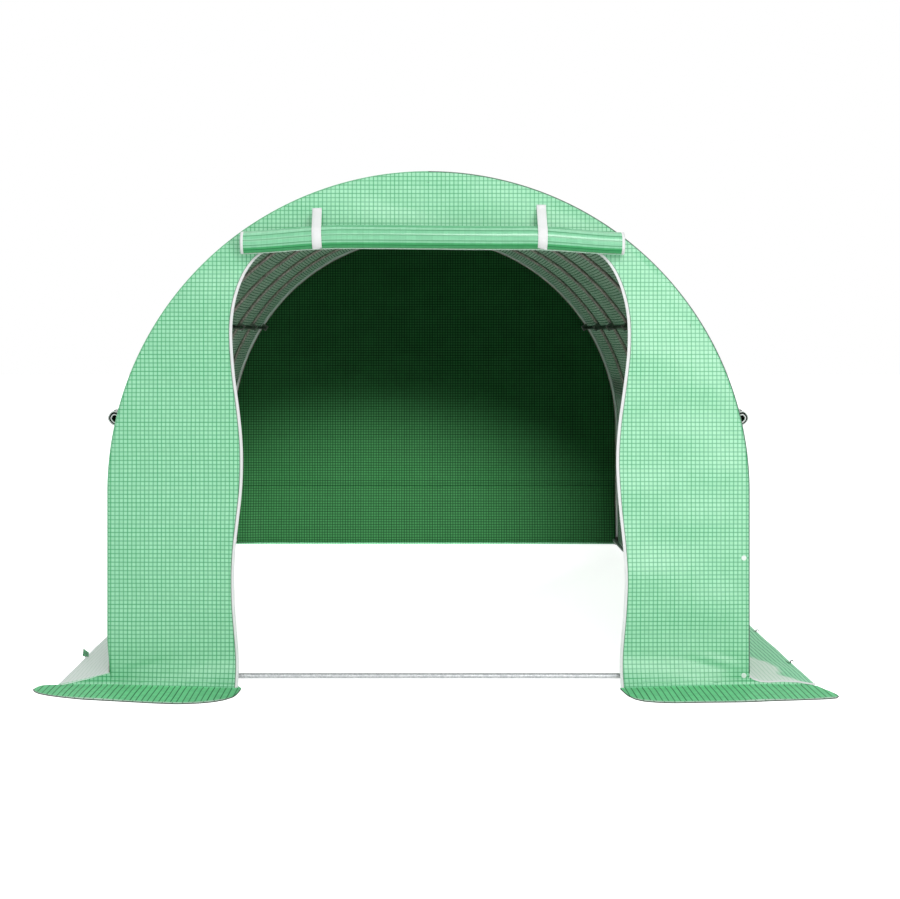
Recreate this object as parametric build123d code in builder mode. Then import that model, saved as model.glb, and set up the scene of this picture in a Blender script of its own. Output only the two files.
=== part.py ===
"""Polytunnel greenhouse: seven galvanised tube hoops under a woven film cover.

Lengths are in millimetres. X runs across the tunnel, Y runs along it with the
doorway at the low end, and Z is up from the ground. The origin is on the
ground, at the middle of the floor.
"""

import os
from math import asin, cos, degrees, radians, sin, sqrt

from build123d import *

# Overall size
WIDTH = 2500  # over the cover, from side to side
HEIGHT = 2000  # from the ground to the top of the cover
LENGTH = 4000  # over the two end panels
BAYS = 6  # spaces between hoops

# Cover
COVER_T = 2  # the film is drawn thicker than it is, so that it is a solid
COVER_GAP = 0.3  # from a hoop to the cover that lies on it
EAVES_MARGIN = 60  # from the top of a window up to the seam under the roof
RIDGE_ANGLE = 50  # arc of the strip of cover along the ridge, in degrees
FLARE_R = 24  # bend where a wall turns out into its skirt
RIGHT_SIDE_SKIRT = 262  # width of the skirt along a side, as it is laid
LEFT_SIDE_SKIRT = 205
END_SKIRT = 305  # reach of the skirt at an end
END_SKIRT_TIP = 295  # how far an end skirt runs past the side wall
END_SKIRT_CORNER = 60

# Frame tube
TUBE_D = 20
TUBE_WALL = 1
SPIGOT_LENGTH = 45  # reduced end of one tube, pushed into the next
SPIGOT_GAP = 0.2
SWAGE_LENGTH = 2  # step between a tube and its reduced end
BOW_TAIL = 60  # straight stretch below the bend of a side bow
CROWN_ANGLE = 60  # arc that the top bow covers, in degrees
CROSSING_GAP = 0.3  # between two tubes that cross

# Rails and purlins
PURLIN_RISE = 650  # from the spring line up to the side purlins
RAIL_Z = 33  # height of the base rails
TUBE_JOINT_OFFSET = 120  # from a hoop to the next joint in a purlin or rail

# Snap clips, corner fittings and foot caps
CLIP_SIZE = 34
CLIP_WALL = 4
CLIP_GAP = 0.3
CLIP_GRIP = 3  # how far a clip reaches past the middle of the hoop tube
CLIP_EDGE = 2
FITTING_SOCKET = 30  # length of tube that a corner fitting holds
CAP_T = 3
CAP_R = 11.8
CAP_GAP = 0.2

# Doorway
DOOR_WIDTH = 1500
DOOR_DROP = 300  # from the top of the cover down to the doorway
DOOR_CORNER = 150  # width of the rounded corner at the top of the doorway
# Points of the doorway's loose edge, as (share of its height, how far it stands out).
DOOR_EDGE = [(0.24, 11), (0.505, -20), (0.8, 24), (0.955, -36)]
DOOR_FOOT_INSET = 4
ZIP_WIDTH = 14
ZIP_T = 2.5

# Rolled-up door
ROLL_R = 47
ROLL_SHORT = 20  # how much shorter the roll is than the doorway
ROLL_RISE = 43  # from the doorway up to the middle of the roll
ROLL_GAP = 0.6
ROLL_SHIFT = 15  # the roll sits this far to the right of the middle
ROLL_TAIL = 60  # from the middle of the roll up to its seam on the panel
STRAP_T = 2
STRAP_WIDTH = 38
STRAP_X = 440
STRAP_RISE = 114  # from the middle of the roll up to the strap's seam
STRAP_FOOT = 3  # how far above the doorway the strap comes back to the panel

# Windows, one to a bay on each side
WINDOW_WIDTH = 360
WINDOW_HEIGHT = 410
WINDOW_RISE = 220  # from the spring line up to the top of a window
WINDOW_CORNER = 40
NET_T = 1
NET_LAP = 15  # how far the net runs past the hole
WINDOW_ROLL_R = 30
WINDOW_ROLL_LENGTH = 400
WINDOW_ROLL_RISE = 63  # from a window up to the middle of its roll
WINDOW_ROLL_TAIL = 60

# Buttons on the front panel
BUTTON_D = 20
BUTTON_T = 3
BUTTON_INSET = 22
BUTTON_ZS = [37, 495]

# Ground pegs
PEG_D = 4
PEG_HEIGHT = 14
PEG_ARM = 11
PEG_TIP = 4
PEG_BEND = 3
PEG_INSET = 8
RIGHT_PEG_OFFSET = 50  # behind the middle of each bay
LEFT_PEG_OFFSET = 178
EYELET_GAP = 0.5

# Derived sizes
ARCH_R = WIDTH / 2
SPRING_Z = HEIGHT - ARCH_R
TUBE_R = TUBE_D / 2
BORE_R = TUBE_R - TUBE_WALL
SPIGOT_R = BORE_R - SPIGOT_GAP
HOOP_R = ARCH_R - COVER_T - COVER_GAP - TUBE_R
HOOP_END_Y = LENGTH / 2 - COVER_T - COVER_GAP - TUBE_R
HOOP_PITCH = 2 * HOOP_END_Y / BAYS
HOOP_YS = [-HOOP_END_Y + i * HOOP_PITCH for i in range(BAYS + 1)]
BAY_YS = [y + HOOP_PITCH / 2 for y in HOOP_YS[:-1]]
CROSSING = TUBE_D + CROSSING_GAP  # between the centres of two crossing tubes
PURLIN_R = HOOP_R - CROSSING
PURLIN_ANGLE = degrees(asin(PURLIN_RISE / PURLIN_R))
RAIL_X = HOOP_R - CROSSING
JOINT_Z = SPRING_Z - BOW_TAIL
SIDE_BOW_ANGLE = (180 - CROWN_ANGLE) / 2
SKIRT_TOP = FLARE_R + COVER_T
PANEL_Y = LENGTH / 2 - COVER_T  # inner face of an end panel
EAVES_ANGLE = degrees(asin((WINDOW_RISE + EAVES_MARGIN) / ARCH_R))
WINDOW_TOP = SPRING_Z + WINDOW_RISE
WINDOW_BOTTOM = WINDOW_TOP - WINDOW_HEIGHT
WINDOW_ROLL_Z = WINDOW_TOP + WINDOW_ROLL_RISE
DOOR_TOP = HEIGHT - DOOR_DROP
ROLL_Z = DOOR_TOP + ROLL_RISE
ROLL_LENGTH = DOOR_WIDTH - ROLL_SHORT
STRAP_TOP = ROLL_Z + STRAP_RISE
ROLL_Y = -(LENGTH / 2 + STRAP_T + 2 * ROLL_GAP + ROLL_R)
CAP_HEIGHT = RAIL_Z - CLIP_SIZE / 2 - CLIP_GAP  # a cap ends just under the clips
ARCH_AXIS = Axis((0, 0, SPRING_Z), (0, 1, 0))

parts = {}


def keep(name, part):
    """Labels a finished piece and keeps it for export under that name."""
    part.label = name
    parts[name] = part


def hoop_plane(angle, y=0):
    """A plane on a hoop's centre line: X points out of the arch, Z along the tube."""
    out = Vector(cos(radians(angle)), 0, sin(radians(angle)))
    centre = Vector(0, y, SPRING_Z) + out * HOOP_R
    return Plane(origin=centre, x_dir=out, z_dir=out.cross(Vector(0, 1, 0)))


def arc_degrees(length):
    """The angle that a length along a hoop's centre line covers."""
    return degrees(length / HOOP_R)


def swaged_tube(length, spigot=True):
    """A tube along +Z from the origin, with a reduced end past its length."""
    with BuildPart() as tube:
        with BuildSketch(Plane.XY):
            Circle(TUBE_R)
            Circle(BORE_R, mode=Mode.SUBTRACT)
        extrude(amount=length)
        if spigot:
            with BuildSketch(Plane.XY.offset(length - SWAGE_LENGTH)):
                Circle(TUBE_R)
                Circle(SPIGOT_R - TUBE_WALL, mode=Mode.SUBTRACT)
            extrude(amount=SWAGE_LENGTH)
            with BuildSketch(Plane.XY.offset(length)):
                Circle(SPIGOT_R)
                Circle(SPIGOT_R - TUBE_WALL, mode=Mode.SUBTRACT)
            extrude(amount=SPIGOT_LENGTH)
    return tube.part


def along_y(x, z, y_start):
    """A place for a part made along +Z, so that it runs along +Y from y_start."""
    return Plane(origin=(x, y_start, z), z_dir=(0, 1, 0)).location


# Hoops: each is two legs, two side bows and a crown bow, pushed together.
leg_tube = swaged_tube(JOINT_Z - CAP_T)

with BuildPart() as left_side_bow:
    with BuildSketch(Plane.XY.offset(JOINT_Z)):
        with Locations((-HOOP_R, 0)):
            Circle(TUBE_R)
            Circle(BORE_R, mode=Mode.SUBTRACT)
    extrude(amount=BOW_TAIL)
    with BuildSketch(hoop_plane(180)):
        Circle(TUBE_R)
        Circle(BORE_R, mode=Mode.SUBTRACT)
    revolve(axis=ARCH_AXIS, revolution_arc=SIDE_BOW_ANGLE)
    with BuildSketch(hoop_plane(180 - SIDE_BOW_ANGLE + arc_degrees(SWAGE_LENGTH))):
        Circle(TUBE_R)
        Circle(SPIGOT_R - TUBE_WALL, mode=Mode.SUBTRACT)
    revolve(axis=ARCH_AXIS, revolution_arc=arc_degrees(SWAGE_LENGTH))
    with BuildSketch(hoop_plane(180 - SIDE_BOW_ANGLE)):
        Circle(SPIGOT_R)
        Circle(SPIGOT_R - TUBE_WALL, mode=Mode.SUBTRACT)
    revolve(axis=ARCH_AXIS, revolution_arc=arc_degrees(SPIGOT_LENGTH))

with BuildPart() as crown_bow:
    with BuildSketch(hoop_plane(180 - SIDE_BOW_ANGLE)):
        Circle(TUBE_R)
        Circle(BORE_R, mode=Mode.SUBTRACT)
    revolve(axis=ARCH_AXIS, revolution_arc=CROWN_ANGLE)

with BuildPart() as left_legs:
    with Locations(*[(-HOOP_R, y, CAP_T) for y in HOOP_YS]):
        add(leg_tube)
keep("left_legs", left_legs.part)

with BuildPart() as right_legs:
    with Locations(*[(HOOP_R, y, CAP_T) for y in HOOP_YS]):
        add(leg_tube)
keep("right_legs", right_legs.part)

with BuildPart() as left_side_bows:
    with Locations(*[(0, y, 0) for y in HOOP_YS]):
        add(left_side_bow.part)
keep("left_side_bows", left_side_bows.part)

with BuildPart() as right_side_bows:
    with Locations(*[(0, y, 0) for y in HOOP_YS]):
        add(left_side_bow.part, rotation=(0, 0, 180))
keep("right_side_bows", right_side_bows.part)

with BuildPart() as crown_bows:
    with Locations(*[(0, y, 0) for y in HOOP_YS]):
        add(crown_bow.part)
keep("crown_bows", crown_bows.part)

# Purlins and base rails: each is three tubes in line, joined just past a hoop.
TUBE_ENDS = [
    -HOOP_END_Y - TUBE_R,
    HOOP_YS[2] + TUBE_JOINT_OFFSET,
    HOOP_YS[4] + TUBE_JOINT_OFFSET,
    HOOP_END_Y + TUBE_R,
]
PURLIN_PLACES = [
    (PURLIN_R * cos(radians(a)), SPRING_Z + PURLIN_R * sin(radians(a)))
    for a in (PURLIN_ANGLE, 90, 180 - PURLIN_ANGLE)
]
RAIL_PLACES = [(-RAIL_X, RAIL_Z), (RAIL_X, RAIL_Z)]

for i, stretch in enumerate(("front", "middle", "back")):
    stretch_tube = swaged_tube(TUBE_ENDS[i + 1] - TUBE_ENDS[i], spigot=i < 2)
    for run, places in (("purlin", PURLIN_PLACES), ("rail", RAIL_PLACES)):
        with BuildPart() as run_tubes:
            with Locations(*[along_y(x, z, TUBE_ENDS[i]) for x, z in places]):
                add(stretch_tube)
        keep(f"{run}_{stretch}_tubes", run_tubes.part)

CROSS_RAIL_X = RAIL_X - TUBE_R - CLIP_WALL  # where a cross rail ends
with BuildPart() as cross_rails:
    for y in (HOOP_YS[0], HOOP_YS[-1]):
        with Locations(Plane(origin=(-CROSS_RAIL_X, y, RAIL_Z), z_dir=(1, 0, 0)).location):
            add(swaged_tube(2 * CROSS_RAIL_X, spigot=False))
keep("cross_rails", cross_rails.part)

# Snap clips: each grips a hoop from inside and carries the tube that crosses it.
CLIP_BORE = TUBE_R + CLIP_GAP
with BuildPart() as clip:
    with BuildSketch(Plane.XY.offset(-CLIP_SIZE / 2)):
        with Locations(((CLIP_GRIP - CROSSING - CLIP_BORE - CLIP_WALL) / 2, 0)):
            RectangleRounded(CLIP_GRIP + CROSSING + CLIP_BORE + CLIP_WALL, CLIP_SIZE, CLIP_EDGE)
    extrude(amount=CLIP_SIZE)
    with BuildSketch(Plane.XY.offset(-CLIP_SIZE / 2)):
        Circle(CLIP_BORE)
    extrude(amount=CLIP_SIZE, mode=Mode.SUBTRACT)
    with BuildSketch(Plane.XZ.offset(-CLIP_SIZE / 2)):
        with Locations((-CROSSING, 0)):
            Circle(CLIP_BORE)
    extrude(amount=CLIP_SIZE, mode=Mode.SUBTRACT)

with BuildPart() as purlin_clips:
    for angle in (PURLIN_ANGLE, 90, 180 - PURLIN_ANGLE):
        with Locations(*[hoop_plane(angle, y).location for y in HOOP_YS]):
            add(clip.part)
    Box(3 * ARCH_R, 2 * (HOOP_END_Y + TUBE_R - CLIP_GRIP), 3 * HEIGHT, mode=Mode.INTERSECT)
keep("purlin_clips", purlin_clips.part)

with BuildPart() as rail_clips:
    for x_dir in (-1, 1):
        for y in HOOP_YS[1:-1]:
            seat = Plane(origin=(x_dir * HOOP_R, y, RAIL_Z), x_dir=(x_dir, 0, 0), z_dir=(0, 0, x_dir))
            with Locations(seat.location):
                add(clip.part)
keep("rail_clips", rail_clips.part)

# Corner fittings: each holds a leg, the end of a side rail and of a cross rail.
FITTING_IN_X = CROSS_RAIL_X - FITTING_SOCKET
FITTING_IN_Y = HOOP_END_Y - FITTING_SOCKET
with BuildPart() as corner_fitting:
    with BuildSketch(Plane.XY.offset(RAIL_Z - CLIP_SIZE / 2)):
        fitting_x = (HOOP_R + CLIP_GRIP + FITTING_IN_X) / 2
        fitting_y = (HOOP_END_Y + CLIP_GRIP + FITTING_IN_Y) / 2
        with Locations((fitting_x, fitting_y)):
            RectangleRounded(
                HOOP_R + CLIP_GRIP - FITTING_IN_X,
                HOOP_END_Y + CLIP_GRIP - FITTING_IN_Y,
                CLIP_EDGE,
            )
    extrude(amount=CLIP_SIZE)
    with BuildSketch(Plane.XY.offset(RAIL_Z - CLIP_SIZE / 2)):
        with Locations((HOOP_R, HOOP_END_Y)):
            Circle(CLIP_BORE)
    extrude(amount=CLIP_SIZE, mode=Mode.SUBTRACT)
    with BuildSketch(Plane.XZ.offset(-HOOP_END_Y - TUBE_R)):
        with Locations((RAIL_X, RAIL_Z)):
            Circle(CLIP_BORE)
    extrude(amount=FITTING_SOCKET + 2 * TUBE_R, mode=Mode.SUBTRACT)
    with BuildSketch(Plane.YZ.offset(FITTING_IN_X)):
        with Locations((HOOP_END_Y, RAIL_Z)):
            Circle(CLIP_BORE)
    extrude(amount=FITTING_SOCKET, mode=Mode.SUBTRACT)

with BuildPart() as corner_fittings:
    back_right = add(corner_fitting.part)
    mirror(about=Plane.YZ)
    mirror(about=Plane.XZ)
keep("corner_fittings", corner_fittings.part)

# Foot caps: a cup under each leg.
with BuildPart() as foot_cap:
    with BuildSketch(Plane.XY):
        Circle(CAP_R)
    extrude(amount=CAP_HEIGHT)
    with BuildSketch(Plane.XY.offset(CAP_T)):
        Circle(TUBE_R + CAP_GAP)
    extrude(amount=CAP_HEIGHT - CAP_T, mode=Mode.SUBTRACT)
    chamfer(foot_cap.faces().sort_by(Axis.Z)[0].edges(), CAP_T / 3)

with BuildPart() as foot_caps:
    with Locations(*[(x, y, 0) for x in (-HOOP_R, HOOP_R) for y in HOOP_YS]):
        add(foot_cap.part)
keep("foot_caps", foot_caps.part)


# Cover: flat walls up to the spring line, and strips of the arch above them.
WINDOW_MID = (WINDOW_BOTTOM + WINDOW_TOP) / 2
WINDOW_PLANE = Plane(origin=(ARCH_R / 2, 0, WINDOW_MID), x_dir=(0, 1, 0), z_dir=(1, 0, 0))


def arch_strip(start, end):
    """The strip of cover between two angles, counted up from the right-hand wall."""
    with BuildPart() as strip:
        with BuildSketch(Plane.XZ.offset(-PANEL_Y)):
            with BuildLine():
                outer = CenterArc((0, SPRING_Z), ARCH_R, start, end - start)
                inner = CenterArc((0, SPRING_Z), ARCH_R - COVER_T, start, end - start)
                Line(outer @ 0, inner @ 0)
                Line(outer @ 1, inner @ 1)
            make_face()
        extrude(amount=2 * PANEL_Y)
    return strip.part


def with_windows(sheet):
    """A sheet on the right-hand side, with the window holes cut out of it."""
    with BuildPart() as holed:
        add(sheet)
        with BuildSketch(WINDOW_PLANE):
            with Locations(*[(y, 0) for y in BAY_YS]):
                RectangleRounded(WINDOW_WIDTH, WINDOW_HEIGHT, WINDOW_CORNER)
        extrude(amount=ARCH_R, mode=Mode.SUBTRACT)
    return holed.part


with BuildPart() as wall:
    with Locations((ARCH_R - COVER_T / 2, 0, (SKIRT_TOP + SPRING_Z) / 2)):
        Box(COVER_T, 2 * PANEL_Y, SPRING_Z - SKIRT_TOP)

right_wall_cover = with_windows(wall.part)
keep("right_wall_cover", right_wall_cover)
keep("left_wall_cover", mirror(right_wall_cover, about=Plane.YZ))

right_eaves_cover = with_windows(arch_strip(0, EAVES_ANGLE))
keep("right_eaves_cover", right_eaves_cover)
keep("left_eaves_cover", mirror(right_eaves_cover, about=Plane.YZ))

right_roof_cover = arch_strip(EAVES_ANGLE, 90 - RIDGE_ANGLE / 2)
keep("right_roof_cover", right_roof_cover)
keep("left_roof_cover", mirror(right_roof_cover, about=Plane.YZ))
keep("ridge_cover", arch_strip(90 - RIDGE_ANGLE / 2, 90 + RIDGE_ANGLE / 2))


# Window nets, sewn inside the holes.
def wall_sheet(outer_x, thickness, z_low, z_high, length):
    """A sheet that follows the right-hand wall and arch, centred on Y = 0.

    It runs from z_low up to z_high, with its outer face outer_x from the middle.
    """
    inner_x = outer_x - thickness
    angle = degrees(asin((z_high - SPRING_Z) / outer_x))
    with BuildPart() as sheet:
        with BuildSketch(Plane.XZ.offset(-length / 2)):
            with BuildLine():
                outer_arc = CenterArc((0, SPRING_Z), outer_x, 0, angle)
                inner_arc = CenterArc((0, SPRING_Z), inner_x, 0, angle)
                Line(outer_arc @ 1, inner_arc @ 1)
                Polyline(outer_arc @ 0, (outer_x, z_low), (inner_x, z_low), inner_arc @ 0)
            make_face()
        extrude(amount=length)
    return sheet.part


net = wall_sheet(
    ARCH_R - COVER_T,
    NET_T,
    WINDOW_BOTTOM - NET_LAP,
    WINDOW_TOP + NET_LAP,
    WINDOW_WIDTH + 2 * NET_LAP,
)
with BuildPart() as right_window_nets:
    with Locations(*[(0, y, 0) for y in BAY_YS]):
        add(net)
keep("right_window_nets", right_window_nets.part)

with BuildPart() as left_window_nets:
    mirror(right_window_nets.part, about=Plane.YZ)
keep("left_window_nets", left_window_nets.part)

# Window flaps, rolled up above the holes and sewn to the wall along their tails.
window_roll_centre_r = ARCH_R + ROLL_GAP + WINDOW_ROLL_R
window_roll_x = sqrt(window_roll_centre_r**2 - (WINDOW_ROLL_Z - SPRING_Z) ** 2)
seam_z = WINDOW_ROLL_Z + WINDOW_ROLL_TAIL - SPRING_Z
seam_r = ARCH_R + COVER_T
with BuildPart() as window_roll:
    with BuildSketch(Plane.XZ.offset(-WINDOW_ROLL_LENGTH / 2)):
        with BuildLine():
            CenterArc((window_roll_x, WINDOW_ROLL_Z), WINDOW_ROLL_R, 0, 360)
            CenterArc((sqrt(seam_r**2 - seam_z**2), SPRING_Z + seam_z), COVER_T / 2, 0, 360)
        make_hull()
        with Locations((0, SPRING_Z)):
            Circle(ARCH_R + COVER_GAP, mode=Mode.SUBTRACT)
    extrude(amount=WINDOW_ROLL_LENGTH)

with BuildPart() as right_window_rolls:
    with Locations(*[(0, y, 0) for y in BAY_YS]):
        add(window_roll.part)
keep("right_window_rolls", right_window_rolls.part)

with BuildPart() as left_window_rolls:
    mirror(right_window_rolls.part, about=Plane.YZ)
keep("left_window_rolls", left_window_rolls.part)

# End panels. The doorway's edge hangs loose, so it wanders in and out.
DOOR_FOOT_X = DOOR_WIDTH / 2 - DOOR_FOOT_INSET
DOOR_CORNER_X = DOOR_WIDTH / 2 - DOOR_CORNER


def door_edge(out=0):
    """The right-hand edge of the doorway, moved outwards by a distance."""
    points = [(DOOR_FOOT_X + out, SKIRT_TOP)]
    points += [(DOOR_WIDTH / 2 + wave + out, share * DOOR_TOP) for share, wave in DOOR_EDGE]
    points += [(DOOR_CORNER_X + out, DOOR_TOP)]
    return Spline(*points, tangents=[(0, 1), (-1, 0)])


with BuildSketch() as doorway:
    with BuildLine():
        door_edge()
        mirror(about=Plane.YZ)
        Line((DOOR_CORNER_X, DOOR_TOP), (-DOOR_CORNER_X, DOOR_TOP))
        Line((DOOR_FOOT_X, SKIRT_TOP), (-DOOR_FOOT_X, SKIRT_TOP))
    make_face()

with BuildSketch() as end_outline:
    with BuildLine():
        CenterArc((0, SPRING_Z), ARCH_R, 0, 180)
        Polyline((ARCH_R, SPRING_Z), (ARCH_R, SKIRT_TOP), (-ARCH_R, SKIRT_TOP), (-ARCH_R, SPRING_Z))
    make_face()

for name, x_mid, z_mid in (
    ("front_panel_left", -WIDTH / 2, DOOR_TOP / 2),
    ("front_panel_right", WIDTH / 2, DOOR_TOP / 2),
    ("front_panel_top", 0, DOOR_TOP + HEIGHT / 2),
):
    with BuildPart() as front_panel:
        with BuildSketch(Plane.XZ.offset(PANEL_Y)):
            add(end_outline.sketch)
            add(doorway.sketch, mode=Mode.SUBTRACT)
            with Locations((x_mid, z_mid)):
                Rectangle(WIDTH, DOOR_TOP if x_mid else HEIGHT, mode=Mode.INTERSECT)
        extrude(amount=COVER_T)
    keep(name, front_panel.part)

with BuildPart() as back_panel:
    with BuildSketch(Plane.XZ.offset(-LENGTH / 2)):
        add(end_outline.sketch)
    extrude(amount=COVER_T)
keep("back_panel", back_panel.part)

# Zip tape along each side of the doorway, on the outside of the panel.
with BuildPart() as right_door_zip:
    with BuildSketch(Plane.XZ.offset(LENGTH / 2)):
        with BuildLine():
            door_edge()
            door_edge(ZIP_WIDTH)
            Line((DOOR_FOOT_X, SKIRT_TOP), (DOOR_FOOT_X + ZIP_WIDTH, SKIRT_TOP))
            Line((DOOR_CORNER_X, DOOR_TOP), (DOOR_CORNER_X + ZIP_WIDTH, DOOR_TOP))
        make_face()
    extrude(amount=ZIP_T)
keep("right_door_zip", right_door_zip.part)

with BuildPart() as left_door_zip:
    mirror(right_door_zip.part, about=Plane.YZ)
keep("left_door_zip", left_door_zip.part)

# The door, rolled up over the doorway, with its tail sewn to the panel.
seam_y = -(LENGTH / 2 + COVER_GAP + COVER_T / 2)
with BuildPart() as door_roll:
    with BuildSketch(Plane.YZ.offset(ROLL_SHIFT - ROLL_LENGTH / 2)):
        with BuildLine():
            CenterArc((ROLL_Y, ROLL_Z), ROLL_R, 0, 360)
            CenterArc((seam_y, ROLL_Z + ROLL_TAIL), COVER_T / 2, 0, 360)
        make_hull()
    extrude(amount=ROLL_LENGTH)
keep("door_roll", door_roll.part)


def strap_outline(grow):
    """The section of a strap round the roll, in Y and Z, grown on every side."""
    with BuildSketch() as outline:
        with BuildLine():
            CenterArc((ROLL_Y, ROLL_Z), ROLL_R + ROLL_GAP + grow, 0, 360)
            CenterArc((-LENGTH / 2, STRAP_TOP - STRAP_T), ROLL_GAP + grow, 0, 360)
            CenterArc((-LENGTH / 2, DOOR_TOP + STRAP_FOOT + STRAP_T), ROLL_GAP + grow, 0, 360)
        make_hull()
    return outline.sketch


with BuildPart() as door_strap:
    with BuildSketch(Plane.YZ.offset(-STRAP_WIDTH / 2)):
        add(strap_outline(STRAP_T))
        add(strap_outline(0), mode=Mode.SUBTRACT)
        with Locations((-LENGTH, HEIGHT / 2)):
            Rectangle(LENGTH, HEIGHT, mode=Mode.INTERSECT)
    extrude(amount=STRAP_WIDTH)

for name, x in (("left_door_strap", -STRAP_X), ("right_door_strap", STRAP_X)):
    with BuildPart() as placed_strap:
        with Locations((x, 0, 0)):
            add(door_strap.part)
    keep(name, placed_strap.part)

# Buttons at the right-hand edge of the front panel.
with BuildPart() as panel_buttons:
    with BuildSketch(Plane.XZ.offset(LENGTH / 2)):
        with Locations(*[(ARCH_R - BUTTON_INSET, z) for z in BUTTON_ZS]):
            Circle(BUTTON_D / 2)
    extrude(amount=BUTTON_T)
    chamfer(panel_buttons.faces().group_by(Axis.Y)[0].edges(), BUTTON_T / 3)
keep("panel_buttons", panel_buttons.part)


# Skirts: each wall bends out at its foot and lies on the ground.
def skirt_profile(wall, reach):
    """The section of a skirt: local X points out of the wall, local Y up."""
    with BuildSketch() as profile:
        with BuildLine():
            bend_centre = (wall + FLARE_R, FLARE_R + COVER_T)
            outer = CenterArc(bend_centre, FLARE_R, 180, 90)
            inner = CenterArc(bend_centre, FLARE_R + COVER_T, 180, 90)
            Line(outer @ 0, inner @ 0)
            Polyline(outer @ 1, (wall + reach, COVER_T), (wall + reach, 0), inner @ 1)
        make_face()
    return profile.sketch


def peg_places(reach, offset):
    """Where the pegs stand, along the hem of a right-hand skirt."""
    return [(ARCH_R + reach - PEG_INSET, y + offset, 0) for y in BAY_YS]


def side_skirt(reach, offset):
    """The right-hand skirt of a width, with its eyelets for the pegs."""
    with BuildPart() as skirt:
        with BuildSketch(Plane.XZ.offset(-PANEL_Y)):
            add(skirt_profile(ARCH_R, reach))
        extrude(amount=2 * PANEL_Y)
        with Locations(*peg_places(reach, offset)):
            Cylinder(PEG_D / 2 + EYELET_GAP, 3 * COVER_T, mode=Mode.SUBTRACT)
    return skirt.part


keep("right_side_skirt", side_skirt(RIGHT_SIDE_SKIRT, RIGHT_PEG_OFFSET))
keep("left_side_skirt", mirror(side_skirt(LEFT_SIDE_SKIRT, LEFT_PEG_OFFSET), about=Plane.YZ))

# Plan of an end skirt past the side wall, as (x, distance out from the panel).
SKIRT_TIP_PLAN = [
    (ARCH_R - 0.6 * END_SKIRT_TIP, END_SKIRT),
    (ARCH_R + 0.6 * END_SKIRT_TIP, 0.7 * END_SKIRT),
    (ARCH_R + END_SKIRT_TIP, 0.36 * END_SKIRT),
    (ARCH_R + 0.8 * END_SKIRT_TIP, 0.125 * END_SKIRT),
    (ARCH_R + 0.5 * END_SKIRT_TIP, 0.02 * END_SKIRT),
    (ARCH_R, -COVER_T),
    (ARCH_R, -0.6 * END_SKIRT),
]


def end_skirt(plan):
    """The front skirt that a plan, as (x, distance out from the panel), leaves."""
    with BuildPart() as skirt:
        with BuildSketch(Plane(origin=(WIDTH, 0, 0), x_dir=(0, -1, 0), z_dir=(-1, 0, 0))):
            add(skirt_profile(LENGTH / 2, END_SKIRT))
        extrude(amount=2 * WIDTH)
        with BuildSketch(Plane.XY):
            with BuildLine():
                FilletPolyline(
                    *[(x, -LENGTH / 2 - out) for x, out in plan],
                    radius=END_SKIRT_CORNER,
                    close=True,
                )
            make_face()
        extrude(amount=2 * FLARE_R, mode=Mode.INTERSECT)
    return skirt.part


front_plan = [(DOOR_FOOT_X, -0.6 * END_SKIRT), (DOOR_FOOT_X, END_SKIRT)] + SKIRT_TIP_PLAN
back_plan = SKIRT_TIP_PLAN + [(-x, out) for x, out in reversed(SKIRT_TIP_PLAN)]

right_front_skirt = end_skirt(front_plan)
keep("right_front_skirt", right_front_skirt)
keep("left_front_skirt", mirror(right_front_skirt, about=Plane.YZ))
keep("back_skirt", mirror(end_skirt(back_plan), about=Plane.XZ))

# Ground pegs: the part of each hook that stands out of the ground.
with BuildPart() as peg:
    with BuildLine(Plane.XZ) as peg_line:
        FilletPolyline(
            (0, 0),
            (0, PEG_HEIGHT - PEG_D / 2),
            (PEG_ARM, PEG_HEIGHT - PEG_D / 2),
            (PEG_ARM, PEG_HEIGHT - PEG_D / 2 - PEG_TIP),
            radius=PEG_BEND,
        )
    with BuildSketch(Plane.XY):
        Circle(PEG_D / 2)
    sweep()


def ground_pegs(reach, offset):
    """The right-hand pegs, each through its eyelet."""
    with BuildPart() as pegs:
        with Locations(*peg_places(reach, offset)):
            add(peg.part)
    return pegs.part


keep("right_ground_pegs", ground_pegs(RIGHT_SIDE_SKIRT, RIGHT_PEG_OFFSET))
keep("left_ground_pegs", mirror(ground_pegs(LEFT_SIDE_SKIRT, LEFT_PEG_OFFSET), about=Plane.YZ))

os.makedirs("parts", exist_ok=True)
for name, part in parts.items():
    export_step(part, f"parts/{name}.step")
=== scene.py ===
import logging
import math
from dataclasses import dataclass, field
from enum import Enum
from typing import Optional, Sequence

import bpy
import numpy as np
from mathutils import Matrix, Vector


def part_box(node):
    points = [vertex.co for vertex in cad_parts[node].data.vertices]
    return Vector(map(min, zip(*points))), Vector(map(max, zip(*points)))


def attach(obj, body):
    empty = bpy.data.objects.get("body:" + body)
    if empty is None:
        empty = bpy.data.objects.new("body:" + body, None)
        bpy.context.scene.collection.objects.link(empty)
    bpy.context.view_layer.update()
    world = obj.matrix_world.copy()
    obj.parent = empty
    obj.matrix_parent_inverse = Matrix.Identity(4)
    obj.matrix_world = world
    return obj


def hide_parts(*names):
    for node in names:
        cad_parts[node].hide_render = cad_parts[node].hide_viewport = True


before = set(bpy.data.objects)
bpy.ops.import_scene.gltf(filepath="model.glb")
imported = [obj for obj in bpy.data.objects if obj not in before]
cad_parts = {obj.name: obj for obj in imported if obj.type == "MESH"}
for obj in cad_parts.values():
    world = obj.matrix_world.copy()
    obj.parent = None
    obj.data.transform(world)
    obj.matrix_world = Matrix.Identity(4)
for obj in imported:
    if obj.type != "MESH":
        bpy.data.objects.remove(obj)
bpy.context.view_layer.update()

log = logging.getLogger("polytunnel")
Array = np.ndarray
Colour = tuple[float, float, float, float]
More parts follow.
